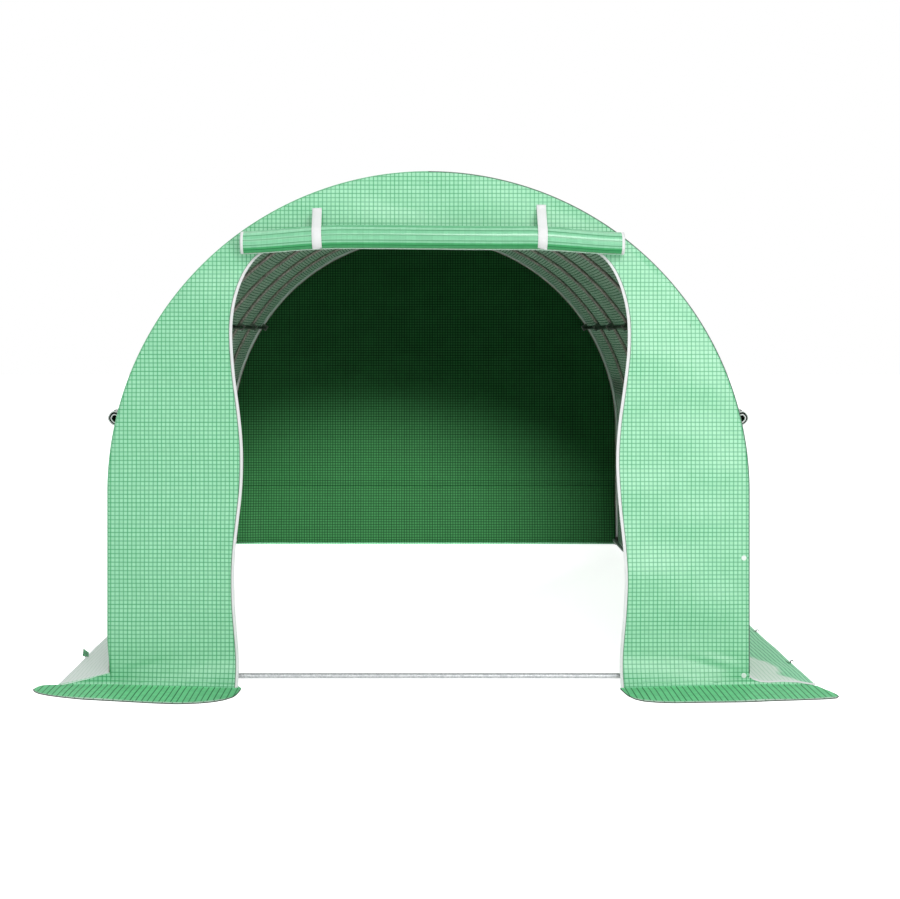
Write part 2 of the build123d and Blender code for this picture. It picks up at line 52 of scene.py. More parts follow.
Place = tuple[float, float, float]
Profile = tuple[tuple[float, ...], tuple[float, ...]]
ROOT = "root"
UV_MAP = "cloth"
TUBE_RADIUS = 0.010
FULL_TURN = 2 * math.pi
FORWARD = np.array([0.0, -1.0, 0.0])
UP = np.array([0.0, 0.0, 1.0])


class Side(Enum):
    """A side of the tunnel, as the sign of X there."""

    LEFT = -1
    RIGHT = 1

    @property
    def word(self) -> str:
        """The side's name as it stands in the names of pieces."""
        return self.name.lower()


class End(Enum):
    """An end of the tunnel, as the sign of Y there."""

    FRONT = -1
    BACK = 1


# ---------------------------------------------------------------- meshes


def smoothstep(low: float, high: float, x: Array) -> Array:
    """Rises from 0 at low to 1 at high as 3t^2 - 2t^3.

    Args:
        low: where the rise starts.
        high: where it ends.
        x: the values to map.

    Returns:
        The mapped values.
    """
    t = np.clip((x - low) / (high - low), 0.0, 1.0)
    return t * t * (3.0 - 2.0 * t)


class Ripple:
    """A sum of plane waves over two flat coordinates, whose phases come from a seed."""

    def __init__(self, seed: int, *waves: tuple[float, float, float]) -> None:
        """Keeps the (size, length, direction in degrees) of each wave, in metres, and draws its phase."""
        self.waves = waves
        self.phases = np.random.default_rng(seed).uniform(0, FULL_TURN, len(waves))

    def at(self, a: Array, b: Array) -> Array:
        """The height at places (a, b): the sum of size * sin(2 pi (a cos d + b sin d) / length + phase)."""
        total = np.zeros(np.broadcast(a, b).shape)
        for (size, length, heading), phase in zip(self.waves, self.phases):
            d = math.radians(heading)
            total = total + size * np.sin(FULL_TURN * (a * math.cos(d) + b * math.sin(d)) / length + phase)
        return total


COVER_SLACK = Ripple(3, (0.003, 0.31, 20), (0.003, 0.23, 70), (0.002, 0.13, 110))
PANEL_SLACK = Ripple(11, (0.0026, 0.42, 84), (0.0020, 0.27, 65), (0.0012, 0.17, 100), (0.0016, 0.6, 15))
CORNER_CREASES = Ripple(19, (0.0013, 0.075, 68), (0.0008, 0.046, 80))
BACK_SLACK = Ripple(23, (0.0030, 0.55, 88), (0.0020, 0.33, 60), (0.0016, 0.21, 110))
LINING_SLACK = Ripple(29, (0.0010, 0.83, 84), (0.0008, 0.37, 80), (0.0005, 0.19, 60))
END_SKIRT_SWELL = Ripple(31, (0.6, 0.37, 4), (0.4, 0.19, 35))
SIDE_SKIRT_SWELL = {
    side: Ripple(41 + side.value, (0.5, 0.37, 8), (0.35, 0.19, 50), (0.3, 0.27, 120), (0.2, 0.09, 20))
    for side in Side
}


def stacked(*coordinates: Array) -> Array:
    """Puts coordinates together as points, after they are broadcast to one shape."""
    return np.stack(np.broadcast_arrays(*coordinates), axis=-1)


def lengths_along(line: Array) -> Array:
    """The distance from the start of a line of points to each of them."""
    return np.concatenate([[0], np.cumsum(np.linalg.norm(np.diff(line, axis=0), axis=1))])


def section_lengths(out: Array, up: Array) -> Array:
    """The distance along each row of a surface given by its places out and up."""
    steps = np.hypot(np.diff(out, axis=1), np.diff(up, axis=1))
    return np.concatenate([np.zeros((len(out), 1)), np.cumsum(steps, axis=1)], axis=1)


def face_normals(made: bpy.types.Object) -> Array:
    """The (n, 3) normals of an object's faces."""
    normals = np.empty(len(made.data.polygons) * 3, np.float32)
    made.data.polygons.foreach_get("normal", normals)
    return normals.reshape(-1, 3)


def grid_object(
    name: str,
    points: Array,
    uv: Array,
    keep: Optional[Array] = None,
    wrap: bool = False,
    index: Optional[Array] = None,
) -> bpy.types.Object:
    """Makes a mesh object from a grid of points.

    The face normal is (step along axis 0) x (step along axis 1).

    Args:
        name: name of the object.
        points: (n, m, 3) positions in metres.
        uv: (n, m, 2) cloth coordinates in metres. With wrap, (n, m + 1, 2).
        keep: (n - 1, m - 1) mask of the faces to make; all if None.
        wrap: whether axis 1 closes on itself.
        index: material index of each face, in keep's shape.

    Returns:
        The linked object, at the origin.
    """
    n, m = points.shape[:2]
    last = m if wrap else m - 1
    i, j = np.meshgrid(np.arange(n - 1), np.arange(last), indexing="ij")
    if keep is None:
        keep = np.ones(i.shape, bool)
    i, j = i[keep], j[keep]
    k = (j + 1) % m
    quads = np.stack([i * m + j, (i + 1) * m + j, (i + 1) * m + k, i * m + k], axis=1)
    corner_uv = np.stack([uv[i, j], uv[i + 1, j], uv[i + 1, j + 1], uv[i, j + 1]], axis=1)
    used, quads = np.unique(quads, return_inverse=True)
    quads = quads.reshape(-1, 4)
    mesh = bpy.data.meshes.new(name)
    mesh.vertices.add(len(used))
    mesh.vertices.foreach_set("co", points.reshape(-1, 3)[used].astype(np.float32).ravel())
    mesh.loops.add(quads.size)
    mesh.loops.foreach_set("vertex_index", quads.astype(np.int32).ravel())
    mesh.polygons.add(len(quads))
    mesh.polygons.foreach_set("loop_start", np.arange(0, quads.size, 4, dtype=np.int32))
    mesh.polygons.foreach_set("use_smooth", np.ones(len(quads), bool))
    if index is not None:
        mesh.polygons.foreach_set("material_index", index[keep].astype(np.int32))
    layer = mesh.uv_layers.new(name=UV_MAP)
    layer.data.foreach_set("uv", corner_uv.astype(np.float32).ravel())
    mesh.update(calc_edges=True)
    mesh.validate()
    made = bpy.data.objects.new(name, mesh)
    bpy.context.scene.collection.objects.link(made)
    return made


def frames_along(path: Array, up: Array) -> tuple[Array, Array]:
    """Gives two directions across a path at each of its points.

    The first is up made square to the tangent, and the second is tangent x first.

    Args:
        path: (n, 3) points.
        up: (3,) or (n, 3) rough direction of the first.

    Returns:
        The two (n, 3) arrays of unit vectors.
    """
    tangent = np.gradient(path, axis=0)
    tangent /= np.linalg.norm(tangent, axis=1, keepdims=True)
    first = up - (tangent * up).sum(1, keepdims=True) * tangent
    first /= np.linalg.norm(first, axis=1, keepdims=True)
    return first, np.cross(tangent, first)


def swept_object(name: str, path: Array, profile: Array, up: Array, closed: bool = False) -> bpy.types.Object:
    """Carries a closed profile along a path: point = path + p * first + q * second.

    Args:
        name: name of the object.
        path: (n, 3) points of the path.
        profile: (m, 2) closed loop, anticlockwise, as offsets (p, q) across the path.
        up: rough direction of p.
        closed: whether the path closes on itself.

    Returns:
        The object, with capped ends unless closed.
    """
    if closed:
        path = np.vstack([path[-1:], path, path[:2]])
        if np.ndim(up) == 2:
            up = np.vstack([up[-1:], up, up[:2]])
    first, second = frames_along(path, up)
    if closed:
        path, first, second = path[1:-1], first[1:-1], second[1:-1]
    ring = np.vstack([profile, profile[:1]])
    points = path[:, None] + profile[None, :, :1] * first[:, None] + profile[None, :, 1:] * second[:, None]
    uv = stacked(lengths_along(path)[:, None], lengths_along(ring)[None, :])
    # Tangent x (step round an anticlockwise loop) points inwards, so the path runs backwards here.
    made = grid_object(name, points[::-1], uv[::-1], wrap=True)
    if not closed:
        cap_ends(made, len(path), len(profile))
    return made


def add_faces(
    made: bpy.types.Object, faces: Sequence[Sequence[int]], uv: Array, slot: int, smooth: bool
) -> None:
    """Adds faces to a smooth object's mesh, between the points that it has.

    Args:
        made: the object.
        faces: each new face's points.
        uv: (..., 2) cloth coordinates of the new faces' corners.
        slot: their material slot.
        smooth: whether they are shaded smooth.
    """
    mesh, count = made.data, len(made.data.polygons)
    co = np.empty(len(mesh.vertices) * 3, np.float32)
    mesh.vertices.foreach_get("co", co)
    old_uv = np.empty(len(mesh.loops) * 2, np.float32)
    mesh.uv_layers[0].data.foreach_get("uv", old_uv)
    index = np.full(count + len(faces), slot, np.int32)
    index[:count] = [p.material_index for p in mesh.polygons]
    is_smooth = np.full(len(index), smooth)
    is_smooth[:count] = True
    name = mesh.name
    fresh = bpy.data.meshes.new(name)
    fresh.from_pydata(co.reshape(-1, 3).tolist(), [], [*(tuple(p.vertices) for p in mesh.polygons), *faces])
    layer = fresh.uv_layers.new(name=UV_MAP)
    layer.data.foreach_set("uv", np.concatenate([old_uv, uv.astype(np.float32).ravel()]))
    fresh.polygons.foreach_set("use_smooth", is_smooth)
    fresh.polygons.foreach_set("material_index", index)
    made.data = fresh
    bpy.data.meshes.remove(mesh)
    fresh.name = name


def cap_ends(made: bpy.types.Object, n: int, m: int) -> None:
    """Closes the two ends of a swept tube of n rings of m points, each with one flat face."""
    ends = [tuple(range(m)), tuple(range((n - 1) * m, n * m))[::-1]]
    add_faces(made, ends, np.zeros((2 * m, 2)), 0, smooth=False)


def joined(name: str, pieces: Sequence[bpy.types.Object]) -> bpy.types.Object:
    """Joins mesh objects at the origin into one object with that name."""
    with bpy.context.temp_override(active_object=pieces[0], selected_editable_objects=list(pieces)):
        bpy.ops.object.join()
    pieces[0].name = name
    pieces[0].data.name = name
    return pieces[0]


def circle(radius: float, count: int) -> Array:
    """A closed anticlockwise loop of points on a circle: (r cos a, r sin a)."""
    a = np.linspace(0, FULL_TURN, count, endpoint=False)
    return radius * stacked(np.cos(a), np.sin(a))


def tape_profile(width: float, thickness: float) -> Array:
    """A flat tape's closed section: p is through it and q across it, with its corners rounded off."""
    t, w = thickness / 2, width / 2
    return np.array([[-t, -w + t], [0, -w], [t, -w + t], [t, 0], [t, w - t], [0, w], [-t, w - t], [-t, 0]])


def thicken(piece: bpy.types.Object, thickness: float, inner_slot: int = 0) -> None:
    """Gives a sheet its thickness, inwards from the face that its normals point out of.

    Args:
        piece: the sheet.
        thickness: thickness in metres.
        inner_slot: how many material slots further the inner face's finish is.
    """
    solid = piece.modifiers.new("thickness", "SOLIDIFY")
    solid.thickness = thickness
    solid.offset = -1.0
    solid.use_even_offset = False
    solid.material_offset = inner_slot


# ---------------------------------------------------------------- finishes


def rgb(red: float, green: float, blue: float) -> Colour:
    """A screen colour from 0 to 255 a channel, as linear light: c/12.92 or ((c + 0.055)/1.055)^2.4."""
    shares = (red / 255, green / 255, blue / 255)
    linear = [c / 12.92 if c <= 0.04045 else ((c + 0.055) / 1.055) ** 2.4 for c in shares]
    return (*linear, 1.0)


class NodeTree:
    """The nodes of a material or of the sky, with short calls for adding and linking them."""

    def __init__(self, owner: bpy.types.ID, output: str) -> None:
        """Starts a material or world with nothing but its output node."""
        owner.use_nodes = True
        self.tree = owner.node_tree
        self.tree.nodes.clear()
        self.output = self.tree.nodes.new(output)

    def node(self, kind: str, **settings: object) -> bpy.types.Node:
        """Adds a node of a kind and sets its properties."""
        made = self.tree.nodes.new(kind)
        for key, value in settings.items():
            setattr(made, key, value)
        return made

    def feed(self, socket: bpy.types.NodeSocket, value: object) -> None:
        """Links a socket to another one, or sets it to a plain value."""
        if isinstance(value, bpy.types.NodeSocket):
            self.tree.links.new(value, socket)
        else:
            socket.default_value = value

    def math(self, operation: str, *values: object) -> bpy.types.NodeSocket:
        """A Math node's result, with one more node for each value past the second."""
        made = self.node("ShaderNodeMath", operation=operation)
        for socket, value in zip(made.inputs, values[:2]):
            self.feed(socket, value)
        return self.math(operation, made.outputs[0], *values[2:]) if values[2:] else made.outputs[0]

    def plus(self, *values: object) -> bpy.types.NodeSocket:
        """The sum of values."""
        return self.math("ADD", *values)

    def times(self, *values: object) -> bpy.types.NodeSocket:
        """The product of values."""
        return self.math("MULTIPLY", *values)

    def blend(self, kind: str, *inputs: object) -> None:
        """Feeds the output from a node that mixes or adds shaders."""
        made = self.node(kind)
        for socket, value in zip(made.inputs, inputs):
            self.feed(socket, value)
        self.feed(self.output.inputs[0], made.outputs[0])

    def seen(self) -> bpy.types.NodeSocket:
        """1 for what the camera sees, straight, mirrored or through something, and 0 for the light."""
        path = self.node("ShaderNodeLightPath")
        rays = ("Is Camera Ray", "Is Glossy Ray", "Is Transmission Ray")
        return self.math("MAXIMUM", *(path.outputs[ray] for ray in rays))


class Shader(NodeTree):
    """A material being built, with short calls for the nodes that the finishes share."""

    def __init__(self, name: str) -> None:
        """Starts an empty material with that name."""
        self.material = bpy.data.materials.new(name)
        super().__init__(self.material, "ShaderNodeOutputMaterial")

    def ramp(self, value: object, *limits: float) -> bpy.types.NodeSocket:
        """Maps low..high to new_low..new_high, the four limits in that order, with a smooth step."""
        made = self.node("ShaderNodeMapRange", interpolation_type="SMOOTHSTEP")
        for socket, number in zip(made.inputs, (value, *limits)):
            self.feed(socket, number)
        return made.outputs[0]

    def mix(self, share: object, a: object, b: object) -> bpy.types.NodeSocket:
        """Mixes two colours: a where share is 0 and b where it is 1."""
        made = self.node("ShaderNodeMix", data_type="RGBA")
        for slot, value in ((0, share), (6, a), (7, b)):
            self.feed(made.inputs[slot], value)
        return made.outputs[2]

    def noise(self, scale: float, detail: float = 2.0) -> bpy.types.NodeSocket:
        """Noise over the object's own space, from 0 to 1."""
        where = self.node("ShaderNodeTexCoord")
        made = self.node("ShaderNodeTexNoise")
        self.feed(made.inputs["Vector"], where.outputs["Object"])
        self.feed(made.inputs["Scale"], scale)
        self.feed(made.inputs["Detail"], detail)
        return made.outputs[0]

    def cloth_axes(self) -> tuple[bpy.types.NodeSocket, bpy.types.NodeSocket]:
        """The cloth's two flat coordinates in metres, from the piece's own map."""
        where = self.node("ShaderNodeUVMap", uv_map=UV_MAP)
        split = self.node("ShaderNodeSeparateXYZ")
        self.feed(split.inputs[0], where.outputs[0])
        return split.outputs[0], split.outputs[1]

    def stripes(
        self, axis: bpy.types.NodeSocket, pitch: float, half: float, soft: float
    ) -> bpy.types.NodeSocket:
        """Lines across an axis: 1 on a line and 0 off it.

        Args:
            axis: the coordinate in metres.
            pitch: distance between lines.
            half: half of a line's width.
            soft: width over which its edge fades.

        Returns:
            The mask.
        """
        place = self.times(self.math("PINGPONG", self.math("DIVIDE", axis, pitch), 0.5), pitch)
        return self.ramp(place, half, half + soft, 1.0, 0.0)

    def weave(self, u: object, v: object, sizes: tuple[float, float, float]) -> bpy.types.NodeSocket:
        """Lines both ways, added up, with the sizes of stripes."""
        return self.plus(self.stripes(u, *sizes), self.stripes(v, *sizes))

    def chance(self, number: object) -> bpy.types.NodeSocket:
        """A random value from 0 to 1 that belongs to a whole number."""
        made = self.node("ShaderNodeTexWhiteNoise", noise_dimensions="1D")
        self.feed(made.inputs["W"], number)
        return made.outputs["Value"]

    def bump(self, height: object, distance: float, strength: float = 1.0) -> bpy.types.NodeSocket:
        """The normal of a bump map."""
        made = self.node("ShaderNodeBump")
        for key, value in (("Strength", strength), ("Distance", distance), ("Height", height)):
            self.feed(made.inputs[key], value)
        return made.outputs[0]

    def principled(self, **inputs: object) -> bpy.types.Node:
        """The Principled shader, with named inputs set or linked (underscores stand for spaces)."""
        made = self.node("ShaderNodeBsdfPrincipled")
        for key, value in inputs.items():
            self.feed(made.inputs[key.replace("_", " ")], value)
        self.feed(self.output.inputs[0], made.outputs[0])
        return made


@dataclass(frozen=True)
class WovenFilm:
    """Translucent woven film with a darker reinforcing grid."""

    name: str
    cell: Colour
    line: Colour
    pitch: float = 0.0165
    line_half: float = 0.0010
    line_soft: float = 0.0024
    across: float = 1.0
    along: float = 1.0
    through: float = 0.12
    roughness: float = 0.38
    gloss: float = 0.95
    relief: float = 0.3
    tape_sizes: tuple[float, float, float] = (0.0055, 0.0003, 0.0016)
    tape_shade: float = 0.11
    weave_sizes: tuple[float, float, float] = (0.0018, 0.0002, 0.0006)
    weave_shade: float = 0.03
    cell_shade: float = 0.10
    drift_shade: float = 0.08

    def build(self) -> bpy.types.Material:
        """Builds the film.

        A grid of soft dark lines, each a little different in depth and darkest where two cross, runs over a
        finer weave of slit tape. Cells differ slightly from their neighbours, and the tone drifts slowly over
        the cloth. The tape and weave sizes are each a pitch, half a line's width and the fade of its edge.
        """
        s = Shader(self.name)
        u, v = s.cloth_axes()
        lines = []
        for axis, strength in ((u, self.across), (v, self.along)):
            number = s.math("ROUND", s.math("DIVIDE", axis, self.pitch))
            depth = s.ramp(s.chance(number), 0.0, 1.0, 0.86 * strength, strength)
            mask = s.stripes(axis, self.pitch, self.line_half, self.line_soft)
            lines.append(s.times(mask, depth))
        crossing = s.times(*lines, 0.12)
        grid = s.plus(s.times(s.math("MAXIMUM", *lines), 0.88), crossing)
        tapes, weave = s.weave(u, v, self.tape_sizes), s.weave(u, v, self.weave_sizes)
        column, row = (s.math("FLOOR", s.math("DIVIDE", axis, self.pitch)) for axis in (u, v))
        cells = s.chance(s.plus(s.times(column, 17.31), s.times(row, 3.77)))
        shade = s.plus(
            s.times(tapes, self.tape_shade),
            s.times(weave, self.weave_shade),
            s.ramp(cells, 0.0, 1.0, 0.0, self.cell_shade),
            s.ramp(s.noise(1.6, 3.0), 0.3, 0.7, 0.0, self.drift_shade),
        )
        tone = s.mix(s.math("MAXIMUM", grid, shade), self.cell, self.line)
        height = s.plus(s.times(weave, 0.25), s.times(grid, 0.6))
        film = s.principled(
            Base_Color=tone,
            Roughness=self.roughness,
            Specular_IOR_Level=self.gloss,
            Normal=s.bump(height, 0.0005, self.relief),
        )
        if self.through:
            lit = s.node("ShaderNodeBsdfTranslucent")
            s.feed(lit.inputs[0], tone)
            s.blend("ShaderNodeMixShader", self.through, film.outputs[0], lit.outputs[0])
        return s.material


@dataclass(frozen=True)
class LaidFilm:
    """Film that lies on the ground: pale and creased near the wall, and green towards the hem."""

    name: str
    pale_to: float
    pale: Colour = rgb(236, 243, 238)
    pale_line: Colour = rgb(206, 222, 211)
    green: Colour = rgb(150, 226, 180)
    green_line: Colour = rgb(80, 168, 116)
    pitch: float = 0.0165
    swing: float = 0.030
    swing_length: float = 0.62
    waver: float = 0.05
    edge_half: float = 0.016
    crease_shade: float = 0.10

    def build(self) -> bpy.types.Material:
        """Builds the film: two creased tones that meet on a wavy edge at about pale_to from the wall.

        The edge swings out and back in over swing_length along the wall. At the front it runs out to the hem.
        """
        s = Shader(self.name)
        u, v = s.cloth_axes()
        along = s.times(s.stripes(v, self.pitch, 0.0006, 0.0024), 0.30)
        lines = s.math("MAXIMUM", s.stripes(u, self.pitch, 0.0008, 0.0030), along)
        wave = s.math("SINE", s.times(s.plus(v, 1.9), FULL_TURN / self.swing_length))
        edge = s.plus(
            s.times(wave, self.swing),
            s.ramp(v, -2.0, -1.84, 0.10, 0.0),
            s.times(s.math("SUBTRACT", s.noise(9.0, 3.0), 0.5), self.waver),
        )
        place = s.math("SUBTRACT", u, edge)
        share = s.ramp(place, self.pale_to - self.edge_half, self.pale_to + self.edge_half, 0.0, 1.0)
        pale = s.mix(s.times(lines, 0.6), self.pale, self.pale_line)
        green = s.mix(lines, self.green, self.green_line)
        tone = s.mix(share, pale, green)
        creases = s.noise(24.0, 4.0)
        tone = s.mix(s.ramp(creases, 0.45, 0.75, 0.0, self.crease_shade), tone, self.pale_line)
        normal = s.bump(creases, 0.003, 0.35)
        s.principled(Base_Color=tone, Roughness=0.5, Specular_IOR_Level=0.3, Normal=normal)
        return s.material


@dataclass(frozen=True)
class WhiteTape:
    """Woven white tape with a fine twill."""

    name: str
    colour: Colour

    def build(self) -> bpy.types.Material:
        """Builds the tape: slanted ribs in the bump, slightly greyed between them."""
        s = Shader(self.name)
        u, v = s.cloth_axes()
        twill = s.stripes(s.plus(u, s.times(v, 0.6)), 0.0016, 0.0002, 0.0006)
        tone = s.mix(s.times(twill, 0.10), self.colour, rgb(160, 166, 162))
        tone = s.mix(s.ramp(s.noise(9.0), 0.4, 0.8, 0.0, 0.05), tone, rgb(180, 190, 182))
        s.principled(Base_Color=tone, Roughness=0.75, Normal=s.bump(twill, 0.0003, 0.5))
        return s.material


@dataclass(frozen=True)
class FineNet:
    """Fine window mesh: pale threads over small dark gaps."""

    name: str
    thread: Colour
    shaded_gap: Colour
    pitch: float = 0.0024

    def build(self) -> bpy.types.Material:
        """Builds the net as two sets of threads over a darker ground: painted shade seen through the gaps."""
        s = Shader(self.name)
        threads = s.math("MAXIMUM", *(s.stripes(axis, self.pitch, 0.0003, 0.0004) for axis in s.cloth_axes()))
        tone = s.mix(threads, self.shaded_gap, self.thread)
        tone = s.mix(s.ramp(s.noise(5.0), 0.35, 0.75, 0.0, 0.15), tone, self.shaded_gap)
        s.principled(Base_Color=tone, Roughness=0.8, Normal=s.bump(threads, 0.0003, 0.6))
        return s.material


@dataclass(frozen=True)
class GalvanisedTube:
    """Drawn steel tube with a dull zinc coat."""

    name: str
    light: Colour
    dark: Colour
    metallic: float = 0.85

    def build(self) -> bpy.types.Material:
        """Builds the zinc: crystals of two greys, rubbed along the tube, with uneven roughness."""
        s = Shader(self.name)
        where = s.node("ShaderNodeTexCoord")
        flakes = s.node("ShaderNodeTexVoronoi")
        s.feed(flakes.inputs["Vector"], where.outputs["Object"])
        flakes.inputs["Scale"].default_value = 180.0
        split = s.node("ShaderNodeSeparateXYZ")
        s.feed(split.inputs[0], flakes.outputs["Color"])
        tone = s.mix(s.ramp(split.outputs[0], 0.1, 0.9, 0.0, 1.0), self.light, self.dark)
        tone = s.mix(s.ramp(s.noise(14.0, 4.0), 0.5, 0.8, 0.0, 0.35), tone, self.dark)
        rough = s.ramp(s.noise(30.0), 0.3, 0.7, 0.34, 0.52)
        s.principled(Base_Color=tone, Roughness=rough, Metallic=self.metallic)
        return s.material


@dataclass(frozen=True)
class MouldedPlastic:
    """Moulded plastic with a fine satin grain."""

    name: str
    colour: Colour
    worn: Colour
    roughness: float = 0.45

    def build(self) -> bpy.types.Material:
        """Builds the plastic: a fine grain in the bump and a slight bloom of a paler tone."""
        s = Shader(self.name)
        tone = s.mix(s.ramp(s.noise(22.0, 4.0), 0.45, 0.8, 0.0, 0.5), self.colour, self.worn)
        s.principled(Base_Color=tone, Roughness=self.roughness, Normal=s.bump(s.noise(900.0), 0.0002, 0.3))
        return s.material


@dataclass(frozen=True)
class PaleFloor:
    """A plain pale floor that is as white as the backdrop where no shadow falls."""

    name: str
    lift: float = 0.86

    def build(self) -> bpy.types.Material:
        """Builds the floor: matt near-white, lifted towards white as it is seen, and darker in the shadow."""
        s = Shader(self.name)
        tone = s.mix(s.noise(0.5), (0.90, 0.90, 0.90, 1.0), (0.92, 0.92, 0.92, 1.0))
        matt = s.principled(Base_Color=tone, Roughness=0.9)
        glow = s.node("ShaderNodeEmission")
        s.feed(glow.inputs[1], s.times(s.seen(), self.lift))
        s.blend("ShaderNodeAddShader", matt.outputs[0], glow.outputs[0])
        return s.material


class Finishes:
    """Every finish on the tunnel, each built once."""

    def __init__(self) -> None:
        """Builds the materials."""
        cell, line = rgb(165, 231, 191), rgb(16, 160, 90)
        self.film = WovenFilm("woven_film", cell, line).build()
        self.roof = WovenFilm("roof_film", cell, line, through=0.31).build()
        # The roof's inner face is a paler, greyer copy of the film with darker lines: painted light and shade
        # for a ceiling lit through the film and from the floor.
        self.roof_inside_painted_light = WovenFilm(
            "roof_film_inside_painted_light", rgb(250, 234, 238), rgb(20, 26, 20), line_half=0.0013, through=0.75, gloss=0.2
        ).build()
        # The end panels' inner face and the rail pocket's lining are a darker copy of the film: painted shade
        # for the unlit inside of the tunnel.
        self.panel_inside_painted_shade = WovenFilm(
            "panel_film_inside_painted_shade",
            rgb(54, 122, 68),
            rgb(16, 48, 25),
            line_half=0.0014,
            line_soft=0.0030,
            through=0.02,
            roughness=0.6,
            gloss=0.06,
        ).build()
        self.rolled = WovenFilm(
            "rolled_film",
            rgb(140, 221, 172),
            rgb(22, 122, 70),
            0.0205,
            across=0.32,
            roughness=0.22,
            gloss=0.75,
            relief=0.1,
        ).build()
        # A darker copy of the rolled film for the lower part of the door roll: painted shade on its
        # underside.
        self.shaded_underside = WovenFilm(
            "shaded_underside_film", rgb(80, 184, 116), rgb(12, 96, 48), 0.0205, across=0.3, gloss=0.2
        ).build()
        self.skirt = WovenFilm(
            "skirt_film",
            rgb(143, 239, 176),
            rgb(2, 104, 48),
            0.0223,
            line_half=0.0017,
            line_soft=0.0012,
            along=0.12,
            roughness=0.65,
            gloss=0.15,
        ).build()
        self.skirt_hem = WovenFilm(
            "skirt_hem_film", rgb(220, 246, 228), rgb(30, 110, 64), 0.038, along=0.2, gloss=0.15
        ).build()
        self.pale_hem = WovenFilm("pale_hem_film", rgb(214, 244, 224), rgb(170, 220, 188), along=0.2).build()
        self.left_skirt = LaidFilm("left_skirt_film", pale_to=0.45).build()
        self.right_skirt = LaidFilm("right_skirt_film", 0.135, rgb(228, 242, 230), rgb(174, 212, 186)).build()
        self.seam = WovenFilm("seam_film", rgb(70, 128, 92), rgb(40, 88, 60), through=0.0).build()
        self.tab = WovenFilm("tab_film", rgb(60, 158, 100), rgb(20, 92, 52), through=0.0).build()
        self.welt = WovenFilm("welt_film", rgb(96, 176, 128), rgb(66, 148, 98), through=0.0).build()
        # A darker copy of the welt for the right side: painted shade.
        self.shaded_welt = WovenFilm("shaded_welt_film", rgb(44, 92, 64), rgb(28, 64, 44), through=0.0).build()
        # A dark copy of the film for the rolled window flaps and their ties: painted shade.
        self.shaded_flap = WovenFilm("shaded_flap_film", rgb(34, 76, 50), rgb(18, 46, 30), through=0.0).build()
        # A dark cord laid along the end skirts' hems: a painted contact shadow.
        self.painted_shadow = MouldedPlastic("hem_cord", rgb(58, 66, 58), rgb(92, 98, 90), 0.7).build()
        self.tape = WhiteTape("white_tape", rgb(231, 231, 231)).build()
        # The net's gaps are painted shade for the dim inside seen through them.
        self.net = FineNet("window_net", rgb(205, 222, 210), rgb(120, 150, 130)).build()
        # Hoops, purlins and corner fittings take darker copies of the rails' galvanised finish: painted shade
        # for the tunnel's dim inside.
        self.hoop = GalvanisedTube("shaded_hoop_tube", rgb(158, 150, 140), rgb(110, 105, 98), 0.2).build()
        self.purlin = GalvanisedTube("shaded_purlin_tube", rgb(60, 64, 60), rgb(38, 42, 38), 0.2).build()
        self.rail = GalvanisedTube("rail_tube", rgb(194, 196, 197), rgb(166, 169, 171), 0.55).build()
        self.clip = MouldedPlastic("clip_plastic", rgb(104, 108, 100), rgb(78, 82, 76)).build()
        self.foot = MouldedPlastic("foot_plastic", rgb(24, 24, 25), rgb(52, 52, 54)).build()
        self.button = MouldedPlastic("button_plastic", rgb(226, 234, 228), rgb(200, 210, 203), 0.3).build()
        self.peg = MouldedPlastic("peg_coating", rgb(22, 40, 28), rgb(50, 66, 54), 0.35).build()


# ---------------------------------------------------------------- the tunnel's own shape


